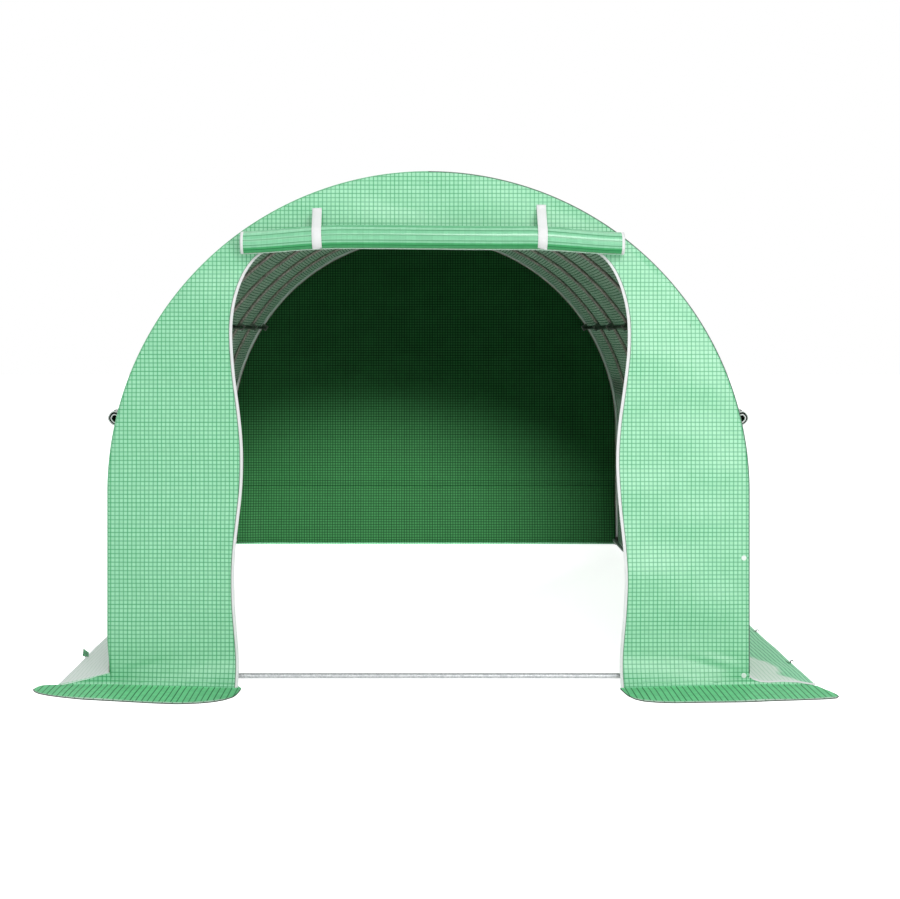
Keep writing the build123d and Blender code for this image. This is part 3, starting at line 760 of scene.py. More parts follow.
@dataclass
class TunnelForm:
    """The tunnel's section and length, read from the frame's solids, in metres."""

    radius: float
    spring: float
    half_length: float
    hoop_y: Array
    foot: float = 0.012
    sag_roof: float = 0.019
    sag_wall: float = 0.010
    corner_pull: float = 0.010
    foot_flare: float = 0.066
    flare_from: float = 0.74
    flare_to: float = 1.22
    flare_height: float = 0.13

    @classmethod
    def from_frame(cls, hoops: int = 7) -> "TunnelForm":
        """Reads the outline from the back panel, and the hoops' places from the crown bows."""
        _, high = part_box("back_panel")
        first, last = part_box("crown_bows")
        hoop_y = np.linspace(first.y + TUBE_RADIUS, last.y - TUBE_RADIUS, hoops)
        return cls(radius=high.x, spring=high.z - high.x, half_length=high.y, hoop_y=hoop_y)

    @property
    def top(self) -> float:
        """Height of the ridge."""
        return self.spring + self.radius

    @property
    def pitch(self) -> float:
        """Distance from one hoop to the next."""
        return self.hoop_y[1] - self.hoop_y[0]

    @property
    def quarter(self) -> float:
        """Arc length from the ridge to the spring line: pi r / 2."""
        return math.pi * self.radius / 2

    @property
    def half_path(self) -> float:
        """Length of cloth from the ridge to the foot of a wall."""
        return self.quarter + self.spring - self.foot

    def path_at(self, z: float) -> float:
        """Path length from the ridge to a height: r acos((z - spring) / r) above the spring line."""
        if z < self.spring:
            return self.quarter + self.spring - z
        return self.radius * math.acos((z - self.spring) / self.radius)

    def sag(self, p: Array, y: Array) -> Array:
        """How far the cloth hangs in between hoops: depth * (4 t (1 - t))^0.8, with t across a bay.

        Args:
            p: path length from the ridge, positive on the right.
            y: place along the tunnel.

        Returns:
            The inward distance.
        """
        bay = np.clip(np.searchsorted(self.hoop_y, y) - 1, 0, len(self.hoop_y) - 2)
        t = np.clip((y - self.hoop_y[bay]) / self.pitch, 0.0, 1.0)
        wall = smoothstep(0.9, 1.3, np.abs(p) / self.quarter)
        depth = self.sag_roof + (self.sag_wall - self.sag_roof) * wall
        share = np.random.default_rng(7).uniform(0.82, 1.0, len(self.hoop_y))[bay]
        return depth * share * (4 * t * (1 - t)) ** 0.8

    def pull(self, z: Array, y: Array) -> Array:
        """How far the foot of the left wall is pulled in at the front: it fades out up and along the wall."""
        low = 1 - smoothstep(0.03, 0.20, z)
        return self.corner_pull * low * (1 - smoothstep(0.0, 0.5, y + self.half_length))

    def flare(self, x: Array, z: Array) -> Array:
        """How far the front panel's foot is drawn out: most beside the doorway, and none at the corners.

        It is depth * t * (1 - z / height)^2, with t across from the corner to the doorway's edge.
        """
        across = np.clip((self.flare_to - np.abs(x)) / (self.flare_to - self.flare_from), 0.0, 1.0)
        return self.foot_flare * across * np.clip(1 - z / self.flare_height, 0.0, 1.0) ** 2

    def skin(self, p: Array, y: Array, lift: float = 0.0) -> Array:
        """A point of the cover: x = r sin a and z = spring + r cos a with a = p / r, then straight down.

        Args:
            p: path length from the ridge, positive on the right.
            y: place along the tunnel.
            lift: distance out from the cover.

        Returns:
            (..., 3) positions.
        """
        p, y = np.broadcast_arrays(p, y)
        a = np.clip(p, -self.quarter, self.quarter) / self.radius
        out = lift - self.sag(p, y)
        slack = (np.abs(y) < self.half_length - 0.03) & (out < 0)
        out = out + np.where(slack, 0.25, 0.0) * np.minimum(0.0, COVER_SLACK.at(p, y))
        down = np.maximum(np.abs(p) - self.quarter, 0.0)
        z = self.spring + (self.radius + out) * np.cos(a) - down
        x = (self.radius + out) * np.sin(a) + np.where(p < 0, self.pull(z, y), 0.0)
        return stacked(x, y, z)

    def outline_half(self, z: Array) -> Array:
        """Half width of the section at a height: r on the walls, and sqrt(r^2 - (z - spring)^2) above."""
        rise = np.clip(z - self.spring, 0.0, self.radius)
        return np.sqrt(np.maximum(self.radius**2 - rise**2, 0.0))


@dataclass
class Crew:
    """Makes pieces to the tunnel's form, and gives each its finish, body and CAD nodes."""

    form: TunnelForm
    finishes: Finishes

    def dress(
        self,
        piece: bpy.types.Object,
        materials: Sequence[bpy.types.Material],
        slot: str,
        nodes: Sequence[str] = (),
    ) -> bpy.types.Object:
        """Gives a piece its finish, body and nodes.

        Args:
            piece: the finished piece.
            materials: its materials, slot by slot.
            slot: not used.
            nodes: CAD nodes that it replaces.

        Returns:
            The piece.
        """
        for material in materials:
            piece.data.materials.append(material)
        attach(piece, ROOT)
        if nodes:
            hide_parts(*nodes)
        log.info("%s: %d faces", piece.name, len(piece.data.polygons))
        return piece


@dataclass
class Cover(Crew):
    """The film over the hoops, in one sheet from foot to foot, with its window holes, hems and seams."""

    window_width: float = 0.36
    window_low: float = 0.56
    window_high: float = 0.97
    hem: float = 0.018
    film: float = 0.0012
    hem_lift: float = 0.0006
    hem_rise: float = 0.0012
    hem_film: float = 0.0005
    step_along: float = 0.028
    step_round: float = 0.03
    welt_radius: float = 0.0021
    bright_line_inset: float = 0.0115
    bright_line_ahead: float = 0.0108

    @property
    def window_centres(self) -> Array:
        """Places of the windows along the tunnel: the middle of each bay."""
        return (self.form.hoop_y[1:] + self.form.hoop_y[:-1]) / 2

    def build(self) -> None:
        """Builds the sheet, the window hems and the end seams."""
        self.build_sheet()
        for side in Side:
            self.build_hems(side)
        self.build_seams()

    def build_sheet(self) -> None:
        """The cover: a grid along the tunnel and along the section, less the faces inside the windows."""
        form = self.form
        end = form.half_length - 0.0005
        half = self.window_width / 2
        marks = [-end, end]
        for centre in self.window_centres:
            marks += [centre - half, centre + half]
        y = self.spaced(np.sort(np.concatenate([marks, form.hoop_y])), self.step_along)
        low, high = form.path_at(self.window_low), form.path_at(self.window_high)
        right = self.spaced(np.array([0.0, high, form.quarter, low, form.half_path]), self.step_round)
        p = np.concatenate([-right[:0:-1], right])[::-1]
        yy, pp = np.meshgrid(y, p, indexing="ij")
        mid_y, mid_p = (yy[1:, 1:] + yy[:-1, :-1]) / 2, (pp[1:, 1:] + pp[:-1, :-1]) / 2
        beside = np.abs(mid_y[..., None] - self.window_centres).min(-1) < half
        keep = ~(beside & (np.abs(mid_p) > high) & (np.abs(mid_p) < low))
        points = form.skin(pp, yy)
        made = grid_object("cover_sheet", points, stacked(pp, yy), keep)
        thicken(made, self.film, 1)
        strips = [f"{side.word}_{strip}_cover" for strip in ("wall", "eaves", "roof") for side in Side]
        finishes = [self.finishes.roof, self.finishes.roof_inside_painted_light]
        self.dress(made, finishes, "cover_film", [*strips, "ridge_cover"])

    @staticmethod
    def spaced(marks: Array, step: float) -> Array:
        """Fills the gaps between marks with even steps no longer than step."""
        gaps = [(a, b) for a, b in zip(marks, marks[1:]) if b - a > 1e-6]
        runs = [np.linspace(a, b, max(2, int(np.ceil((b - a) / step)) + 1))[:-1] for a, b in gaps]
        return np.concatenate([*runs, marks[-1:]])

    def build_hems(self, side: Side) -> None:
        """The folded tape round each window: a flat loop with rounded corners, laid on the cover.

        A loop point is the hole's rectangle pushed out by half the tape, and its section is a flat lens.
        """
        form = self.form
        low, high = form.path_at(self.window_low), form.path_at(self.window_high)
        half_p, half_y = (low - high) / 2 + 0.002, self.window_width / 2 + 0.002
        count = 96
        c, s = circle(1.0, count).T
        reach = (np.abs(c) ** 7 + np.abs(s) ** 7) ** (-1 / 7)
        across = np.array([-1.0, -0.6, 0.0, 0.6, 1.0])
        height = self.hem_lift + self.hem_rise * (1 - across**2)
        grow = across[None, :] * self.hem / 2
        pieces = []
        for number, centre in enumerate(self.window_centres):
            p = side.value * ((high + low) / 2 + (reach * s)[:, None] * (half_p + grow))
            y = centre + (reach * c)[:, None] * (half_y + grow)
            skin = form.skin(p, y)
            out = form.skin(p, y, 1.0) - skin
            out /= np.linalg.norm(out, axis=-1, keepdims=True)
            points = skin + out * height[None, :, None]
            points = np.concatenate([points, points[:1]])
            uv = stacked(np.arange(count + 1)[:, None] * 0.016, grow)
            if side is Side.LEFT:
                points, uv = points[::-1], uv[::-1]
            pieces.append(grid_object(f"hem_{number}", points, uv))
        made = joined(f"{side.word}_window_hems", pieces)
        thicken(made, self.hem_film)
        self.dress(made, [self.finishes.seam], "cover_film")

    def build_seams(self) -> None:
        """The welt where each end panel is sewn to the cover, and a white tape along the last hoop.

        Each welt follows the outline in two halves that meet at the ridge, down to the skirt. The white tape
        is painted light for a bright line along the last hoop; its path is the outline moved in by its inset,
        and it bears on the front of the hoop.
        """
        form = self.form
        # The right side's welts take the darker copy of the welt: painted shade.
        for side, finish in ((Side.LEFT, self.finishes.welt), (Side.RIGHT, self.finishes.shaded_welt)):
            p = side.value * np.linspace(0.0, form.half_path - 0.033, 151)
            up = form.skin(p, np.zeros_like(p), 1.0) - form.skin(p, np.zeros_like(p))
            pieces = []
            for end in End:
                path = form.skin(p, np.full_like(p, end.value * (form.half_length - 0.001)), -0.0006)
                pieces.append(swept_object(f"welt_{end.name}", path, circle(self.welt_radius, 10), up))
            self.dress(joined(f"{side.word}_end_seams", pieces), [finish], "cover_film")
        # The white tape is painted light, standing in for a bright line of light along the last hoop.
        p = np.linspace(-form.half_path + 0.04, form.half_path - 0.04, 301)
        path = form.skin(p, np.full_like(p, form.hoop_y[-1]), -self.bright_line_inset)
        path[:, 1] = form.hoop_y[-1] - self.bright_line_ahead
        tape = swept_object("back_hoop_bright_line", path, tape_profile(0.014, 0.0016), FORWARD)
        self.dress(tape, [self.finishes.tape], "white_tape")


@dataclass
class DoorEdge:
    """The loose edge of the doorway on one side: how its half width changes with height, in metres."""

    halves: tuple[float, float, float, float]
    corner_half: float
    heights: tuple[float, float, float, float] = (0.0, 0.40, 0.87, 1.37)
    corner_drop: float = 0.33
    top: float = 1.70

    def half(self, z: Array) -> Array:
        """Half width at a height.

        Between two turning points it is a + (b - a)(1 - cos(pi t)) / 2, and over the last one it is a
        quarter ellipse that closes to the corner's half width at the top.
        """
        z = np.asarray(z, float)
        marks, values = np.array(self.heights), np.array(self.halves)
        i = np.clip(np.searchsorted(marks, z, side="right") - 1, 0, len(marks) - 2)
        t = np.clip((z - marks[i]) / (marks[i + 1] - marks[i]), 0.0, 1.0)
        lower = values[i] + (values[i + 1] - values[i]) * (1 - np.cos(math.pi * t)) / 2
        rise = np.clip((z - marks[-1]) / self.corner_drop, 0.0, 1.0)
        upper = self.corner_half + (values[-1] - self.corner_half) * np.sqrt(1 - rise**2)
        return np.where(z > marks[-1], upper, lower)


@dataclass
class EndPanels(Crew):
    """The two end panels: the front one round its doorway, and the plain back one."""

    left_edge: DoorEdge = field(default_factory=lambda: DoorEdge((0.737, 0.757, 0.724, 0.764), 0.592))
    right_edge: DoorEdge = field(default_factory=lambda: DoorEdge((0.743, 0.764, 0.733, 0.776), 0.600))
    film: float = 0.0012
    belly: float = 0.006
    lining_film: float = 0.0008
    lining_half: float = 1.225
    lining_foot: float = 0.017
    lining_rise: float = 0.34
    rail_room: float = 0.0035
    fitting_room: float = 0.016

    def build(self) -> None:
        """Builds both panels."""
        self.build_front()
        self.build_back()

    def relief(self, x: Array, z: Array, share: Array) -> Array:
        """How far the front panel stands out: slack at the doorway, held flat at the outline and the foot.

        Near the lower corners short creases run down and outwards.

        Args:
            x: across.
            z: up.
            share: 0 at the doorway's edge and 1 at the outline.

        Returns:
            The distance out of the panel's plane.
        """
        slack = (1 - share) ** 1.5
        curl = (0.004 + 0.009 * np.sin(FULL_TURN * (z - 0.2) / 0.95)) * slack
        corner = np.exp(-(((np.abs(x) - 1.12) / 0.16) ** 2) - ((z - 0.07) / 0.07) ** 2)
        creases = corner * CORNER_CREASES.at(np.abs(x), z)
        held = np.clip(5 * (1 - share), 0, 1) * smoothstep(0.0, 0.3, z)
        return (PANEL_SLACK.at(x, z) + curl) * held + creases * np.clip(9 * (1 - share), 0, 1)

    def front_y(self, x: Array, z: Array, share: Array) -> Array:
        """Place of the front panel's outer face along the tunnel."""
        relief = np.clip(self.relief(x, z, share), -0.004, 0.018)
        return -self.form.half_length - relief - self.form.flare(x, z)

    def build_front(self) -> None:
        """The front panel: rays from the doorway's edge to the outline, up one side and down the other."""
        form, left, right = self.form, self.left_edge, self.right_edge
        z = np.concatenate([np.linspace(form.foot, 0.22, 24)[:-1], np.linspace(0.22, right.top, 116)])
        half, pull = form.outline_half(z), form.pull(z, np.full_like(z, -form.half_length))
        angle = math.acos((right.top - form.spring) / form.radius)
        a = np.linspace(angle, -angle, 91)[1:-1]
        top_x = np.linspace(right.corner_half, -left.corner_half, 91)[1:-1]
        inner_top = stacked(top_x, right.top)
        outer_top = stacked(form.radius * np.sin(a), form.spring + form.radius * np.cos(a))
        inner = np.vstack([stacked(right.half(z), z), inner_top, stacked(-left.half(z), z)[::-1]])
        outer = np.vstack([stacked(half, z), outer_top, stacked(pull - half, z)[::-1]])
        share = np.broadcast_to(np.linspace(0, 1, 41), (len(inner), 41))
        flat = inner[:, None] * (1 - share[..., None]) + outer[:, None] * share[..., None]
        y = self.front_y(flat[..., 0], flat[..., 1], share)
        points = stacked(flat[..., 0], y, flat[..., 1])
        made = grid_object("front_panel_sheet", points[:, ::-1], flat[:, ::-1])
        thicken(made, self.film, 1)
        finishes = [self.finishes.film, self.finishes.panel_inside_painted_shade]
        self.dress(made, finishes, "cover_film", ["front_panel_left", "front_panel_right", "front_panel_top"])

    @staticmethod
    def area_between(inner: Array, outer: Array) -> float:
        """Area between two open outlines, as the sum of the quads' areas by the shoelace rule."""
        ring = [outer[:-1], outer[1:], inner[1:], inner[:-1]]
        total = sum(a[:, 0] * b[:, 1] - b[:, 0] * a[:, 1] for a, b in zip(ring, ring[1:] + ring[:1]))
        return float(np.abs(total).sum() / 2)

    def build_back(self) -> None:
        """The back panel: x = half width at z times a share from -1 to 1, with a slight belly."""
        form = self.form
        rise = np.sin(np.linspace(0, math.pi / 2, 70))
        z = np.concatenate([np.linspace(form.foot, form.spring, 26)[:-1], form.spring + rise * form.radius])
        share = np.linspace(-1, 1, 81)
        zz, ss = np.meshgrid(z, share, indexing="ij")
        half = np.maximum(form.outline_half(zz), 0.002)
        x = ss * half
        hold = np.clip(5 * (1 - np.abs(ss)), 0, 1) * np.clip(5 * (form.top - zz), 0, 1)
        hold = hold * np.clip(8 * (zz - form.foot), 0, 1)
        y = form.half_length - 0.0004 + (self.belly + BACK_SLACK.at(x, zz)) * hold
        made = grid_object("back_panel_sheet", stacked(x, y, zz), stacked(x, zz))
        thicken(made, self.film, 1)
        self.dress(made, [self.finishes.film, self.finishes.panel_inside_painted_shade], "cover_film", ["back_panel"])
        self.build_rail_pocket()

    def build_rail_pocket(self) -> bpy.types.Object:
        """The lining over the back panel's lower rail: it leaves the panel, passes the rail and hangs down.

        From the top, t runs from 0 to 1 down the height. The distance in from the panel is depth * smoothstep
        of t, where depth clears the rail by rail_room, and by fitting_room more at the fittings of both ends.
        """
        _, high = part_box("cross_rails")
        x = np.linspace(-self.lining_half, self.lining_half, 140)[:, None]
        t = np.linspace(0, 1, 22)[None, :]
        rail_face = self.form.half_length - high.y + 2 * TUBE_RADIUS
        depth = rail_face + self.rail_room + self.fitting_room * smoothstep(1.02, 1.16, np.abs(x))
        low, top = self.lining_foot, high.z + self.lining_rise
        z = top + (low - top) * t
        waver = LINING_SLACK.at(x + 0 * t, z)
        into = 0.0024 + depth * smoothstep(0.0, 0.88, t) + waver * smoothstep(0.2, 0.6, t)
        made = grid_object("back_rail_pocket", stacked(x, self.form.half_length - into, z), stacked(x, z))
        thicken(made, self.lining_film)
        return self.dress(made, [self.finishes.panel_inside_painted_shade], "cover_film")


@dataclass(frozen=True)
class HemPlan:
    """The plan of an end skirt that lies on the ground, from the side nearest the middle to its tip.

    Places across are along X, and places out are from the panel.
    """

    across: tuple[float, ...]
    out: tuple[float, ...]
    back_across: tuple[float, ...]
    back_out: tuple[float, ...]

    @staticmethod
    def eased(x: Array, marks: Sequence[float], values: Sequence[float], width: float) -> Array:
        """Straight runs between marks, eased by a Hann-weighted mean over a width on each side."""
        offsets = np.linspace(-width, width, 15)
        weights = np.hanning(17)[1:-1]
        shifted = np.interp(np.clip(x[:, None] + offsets, marks[0], marks[-1]), marks, values)
        return (shifted * weights).sum(1) / weights.sum()

    def stations(self, count: int) -> Array:
        """Places across, closer together towards both ends: a cosine spacing."""
        t = (1 - np.cos(np.linspace(0, math.pi, count))) / 2
        return self.across[0] + (self.across[-1] - self.across[0]) * t

    def reach(self, x: Array) -> Array:
        """How far out the hem is at each place across."""
        room = np.minimum(x - self.across[0], self.across[-1] - x)
        fine, coarse = (self.eased(x, self.across, self.out, w) for w in (0.004, 0.03))
        blend = smoothstep(0.02, 0.10, room)
        return fine * (1 - blend) + coarse * blend

    def start(self, x: Array) -> Array:
        """How far out the cloth begins at each place across."""
        return np.interp(x, self.back_across, self.back_out)


@dataclass
class Skirts(Crew):
    """The skirts that lie on the ground, at the foot of each wall."""

    film: float = 0.0012
    lap: float = 0.022
    left_hem: HemPlan = HemPlan(
        across=(0.722, 0.726, 0.736, 0.764, 0.800, 0.850, 0.930, 1.030)
        + (1.170, 1.300, 1.390, 1.440, 1.480, 1.503, 1.514, 1.518),
        out=(0.075, 0.150, 0.205, 0.252, 0.282, 0.303, 0.315, 0.299)
        + (0.268, 0.240, 0.204, 0.178, 0.150, 0.120, 0.096, 0.076),
        back_across=(0.7, 1.435, 1.480, 1.503, 1.513, 1.518),
        back_out=(0.0, 0.0, 0.003, 0.012, 0.032, 0.062),
    )
    right_hem: HemPlan = HemPlan(
        across=(0.738, 0.742, 0.752, 0.772, 0.800, 0.850, 0.910)
        + (1.020, 1.170, 1.270, 1.400, 1.490, 1.530, 1.545),
        out=(0.065, 0.110, 0.185, 0.242, 0.274, 0.291, 0.299)
        + (0.290, 0.284, 0.267, 0.250, 0.236, 0.222, 0.192),
        back_across=(0.7, 1.488, 1.509, 1.530, 1.545),
        back_out=(0.0, 0.0, 0.022, 0.100, 0.178),
    )
    back_hem: HemPlan = HemPlan(
        across=(-1.516, -1.505, -1.47, -1.42, -1.30, -0.9, 0.9, 1.30, 1.42, 1.47, 1.505, 1.516),
        out=(0.104, 0.130, 0.166, 0.198, 0.246, 0.292, 0.292, 0.246, 0.198, 0.166, 0.130, 0.104),
        back_across=(-1.516, -1.505, -1.48, -1.44, 1.44, 1.48, 1.505, 1.516),
        back_out=(0.092, 0.050, 0.014, 0.0, 0.0, 0.014, 0.050, 0.092),
    )
    left_slope: Profile = ((0, 0.5, 1), (0.047, 0.021, 0.0))
    right_slope: Profile = (
        (0, 0.06, 0.16, 0.30, 0.48, 0.75, 1),
        (0.034, 0.022, 0.014, 0.011, 0.014, 0.011, 0.0),
    )
    left_reach: float = 0.190
    right_reach: float = 0.255
    end_depth: float = 0.33
    painted_shadow_radius: float = 0.0020
    lowest: float = 0.0016
    end_swell: float = 0.0016
    side_swell: float = 0.0028
    tab_film: float = 0.0010

    def build(self) -> None:
        """Builds the five skirts and the peg tabs."""
        self.build_end("left_front_skirt", self.left_hem, Side.LEFT, End.FRONT, 0.80)
        self.build_end("right_front_skirt", self.right_hem, Side.RIGHT, End.FRONT, 0.83)
        self.build_end("back_skirt", self.back_hem, Side.RIGHT, End.BACK, 3.07)
        for side in Side:
            self.build_side(side)
            self.build_tabs(side)

    def end_height(self, side: Side, beyond: Array) -> Array:
        """Height of a side skirt's front edge at a distance out from the wall."""
        slope, reach = self.side_facts(side)
        return np.interp(beyond / reach, *slope, right=0.0)

    def side_facts(self, side: Side) -> tuple[Profile, float]:
        """The slope of a side skirt's front edge, and the skirt's width there."""
        if side is Side.LEFT:
            return self.left_slope, self.left_reach
        return self.right_slope, self.right_reach

    def build_end(self, node: str, plan: HemPlan, side: Side, end: End, flat_width: float) -> None:
        """An end skirt: a short lap on the panel, a tight fold, and the cloth flat on the ground.

        The section runs down the lap, round a quarter circle of radius r (out = r(1 - cos),
        up = r(1 - sin)), and then outwards. Past the side wall the upright part is as high as the side
        skirt's end, and its fold grows tighter as that height goes to nothing.

        Args:
            node: the CAD node that it replaces.
            plan: its hem.
            side: side of the tunnel that its places across are on.
            end: end of the tunnel.
            flat_width: not used.
        """
        form = self.form
        x = plan.stations(230)
        pull = form.corner_pull if node == "left_front_skirt" else 0.0
        beyond = np.maximum(np.abs(x) - form.radius + pull, 0.0)
        at_side = Side.RIGHT if end is End.BACK else side
        lap = 0.004 + (self.lap - 0.004) * smoothstep(0.0, 0.03, x - plan.across[0])
        top = np.where(beyond > 0, self.end_height(at_side, beyond), lap)
        r = np.minimum(form.foot, top)
        start = plan.start(x)
        flare = form.flare(x, 0.0 * x) * (end is End.FRONT)
        reach = np.maximum(plan.reach(x), start + 0.002 + flare)
        drop = np.linspace(1, 0, 6)[None, :-1] * (top - r)[:, None]
        turn = np.linspace(0, math.pi / 2, 7)[None, :]
        out_flat = np.linspace(0, 1, 26)[None, 1:] ** 0.9
        upright = np.concatenate([drop + r[:, None], r[:, None] * (1 - np.sin(turn))], axis=1)
        drawn = form.flare(x[:, None], upright) * (end is End.FRONT)
        flat_from = (r + start + drawn[:, -1])[:, None]
        out_flat = flat_from + (np.maximum(reach[:, None] - flat_from, 0.001)) * out_flat
        folded = np.concatenate([drop * 0, r[:, None] * (1 - np.cos(turn))], axis=1) + start[:, None] + drawn
        out = np.concatenate([folded, out_flat], axis=1)
        up = np.concatenate([upright, out_flat * 0], axis=1)
        xx = np.broadcast_to(x[:, None], out.shape)
        on_ground = np.arange(out.shape[1])[None, :] >= folded.shape[1]
        swell = self.end_swell * (1 + END_SKIRT_SWELL.at(xx, out))
        up = np.maximum(up, self.lowest) + on_ground * swell * smoothstep(0.02, 0.12, out)
        on_panel = (np.abs(xx) < form.radius - pull) & (out < 0.004 + start[:, None] + drawn[:, :1])
        y = end.value * (form.half_length + out + np.where(on_panel, 0.0007, 0.0))
        points = stacked(side.value * xx, y, up)
        # Film on the lap and into the fold, then skirt, and the two last rows are the hem.
        row = np.arange(out.shape[1] - 1)
        index = np.where(row < 8, 0, np.where(row < len(row) - 2, 1, 2))
        index = np.broadcast_to(index, (len(x) - 1, len(row)))
        uv = stacked(xx, up[:, :1] - section_lengths(out, up))
        made = grid_object(f"{node}_sheet", points, uv, index=index)
        self.face_up(made)
        thicken(made, self.film)
        finishes = [self.finishes.film, self.finishes.skirt, self.finishes.skirt_hem]
        self.dress(made, finishes, "skirt_film", [node])
        area = self.mesh_area(made)
        # A dark cord on the ground just outside the hem: a painted contact shadow.
        edge = points[:, -1] + np.array([0.0, 0.0018 * end.value, 0.0])
        edge[:, 2] = self.painted_shadow_radius + 0.0001
        painted_shadow = swept_object(f"{node}_hem_cord", edge, circle(self.painted_shadow_radius, 8), UP)
        self.dress(painted_shadow, [self.finishes.painted_shadow], "skirt_film")

    @staticmethod
    def face_up(made: bpy.types.Object) -> None:
        """Turns a skirt's faces over if most of them look down."""
        if face_normals(made)[:, 2].sum() < 0:
            made.data.flip_normals()

    @staticmethod
    def mesh_area(made: bpy.types.Object) -> float:
        """The sum of a mesh's face areas."""
        areas = np.empty(len(made.data.polygons), np.float32)
        made.data.polygons.foreach_get("area", areas)
        return float(areas.sum())

    def side_section(self, side: Side, y: Array, t: Array) -> tuple[Array, Array]:
        """The section of a side skirt at places along the tunnel.

        The middle of the skirt folds tightly and lies flat. Towards the front end it blends into the slope of
        the end, over a longer stretch on the left, where the cloth is tighter.

        Args:
            side: side of the tunnel.
            y: (n, 1) places along the tunnel.
            t: (1, m) shares of the way from the wall to the hem.

        Returns:
            (n, m) distance out from the wall, and height.
        """
        form = self.form
        slope, reach = self.side_facts(side)
        along = (y + form.half_length) / (2 * form.half_length)
        width = reach + 0.012 * along + 0.005 * np.cos(FULL_TURN * (y - form.hoop_y[0]) / form.pitch) * along
        out = width * t
        fold = form.foot
        tight = np.where(out < fold, fold - np.sqrt(np.maximum(fold**2 - (fold - out) ** 2, 0.0)), 0.0)
        ramp = np.interp(np.broadcast_to(t, out.shape), *slope)
        run = 1.4 if side is Side.LEFT else 0.8
        blend = 1 - smoothstep(0.0, run, y + form.half_length)
        swell = self.side_swell * (1 + SIDE_SKIRT_SWELL[side].at(y, out)) * smoothstep(0.02, 0.08, out)
        settle = np.clip(12 * (1 - t), 0, 1) * smoothstep(0.0, 0.10, y + form.half_length)
        return out, np.maximum(ramp * blend + tight * (1 - blend), 0.0024) + swell * (0.25 + 0.75 * settle)

    def build_side(self, side: Side) -> None:
        """The skirt along a side wall, with the hem of its front edge."""
        form = self.form
        span = form.half_length - 0.0004
        y = np.concatenate([np.linspace(-span, -span + 0.5, 50)[:-1], np.linspace(-span + 0.5, span, 180)])
        t = np.linspace(0, 1, 30) ** 1.3
        out, up = self.side_section(side, y[:, None], t[None, :])
        yy = np.broadcast_to(y[:, None], out.shape)
        length = section_lengths(out, up)
        if side is Side.LEFT:
            finish, hem_finish, hem_width = self.finishes.left_skirt, self.finishes.pale_hem, 0.005
            out = out - form.pull(up, yy) * (1 - t[None, :])
        else:
            finish, hem_finish, hem_width = self.finishes.right_skirt, self.finishes.tape, 0.010
        points = stacked(side.value * (form.radius + 0.0006 + out), yy, up)
        made = grid_object(f"{side.word}_side_skirt_sheet", points, stacked(length, yy))
        self.face_up(made)
        thicken(made, self.film)
        self.dress(made, [finish], "skirt_film", [f"{side.word}_side_skirt"])
        edge = points[0] + np.array([0, -0.0006, 0.0010])
        section = tape_profile(hem_width, 0.0022)
        hem = swept_object(f"{side.word}_skirt_front_hem", edge, section, np.array([0.0, -0.5, 1.0]))
        self.dress(hem, [hem_finish], "skirt_film")

    def build_tabs(self, side: Side) -> None:
        """The tab behind each peg: a short strip of cloth sewn to the hem, folded over on the left.

        A folded strip stands on edge over the hem, and its height falls by half over its length t. A flat one
        follows z = rise * sin(pi t).
        """
        form = self.form
        folded = side is Side.LEFT
        past_middle, rise, reach = (0.178, 0.030, 0.026) if folded else (0.050, 0.0015, 0.024)
        places = form.hoop_y[:-1] + form.pitch / 2 + past_middle
        t = np.linspace(0, 1, 13)[:, None]
        across = np.linspace(-1, 1, 7)[None, :]
        pieces = []
        for number, place in enumerate(places):
            out, up = self.side_section(side, np.array([[place]]), np.array([[1.0]]))
            hem_x, hem_z = form.radius + out[0, 0], up[0, 0] + self.lowest
            if folded:
                x = hem_x + 0.016 - reach * t
                z = hem_z + rise * (0.5 + 0.5 * across) * (1 - 0.5 * t)
                y = place + 0.006 * across - 0.010 * t
            else:
                x = hem_x - 0.004 - reach * np.sin(math.pi * t * 0.5) * (0.5 + 0.1 * across)
                z = hem_z + rise * np.sin(math.pi * t) * (1 - 0.35 * np.abs(across))
                y = place + across * 0.018 + 0.008 * t
            uv = stacked(t * reach, across * 0.014)
            tab = grid_object(f"tab_{number}", stacked(side.value * x, y, z), uv)
            self.face_up(tab)
            pieces.append(tab)
        made = joined(f"{side.word}_peg_tabs", pieces)
        thicken(made, self.tab_film)
        self.dress(made, [self.finishes.tab], "skirt_film")


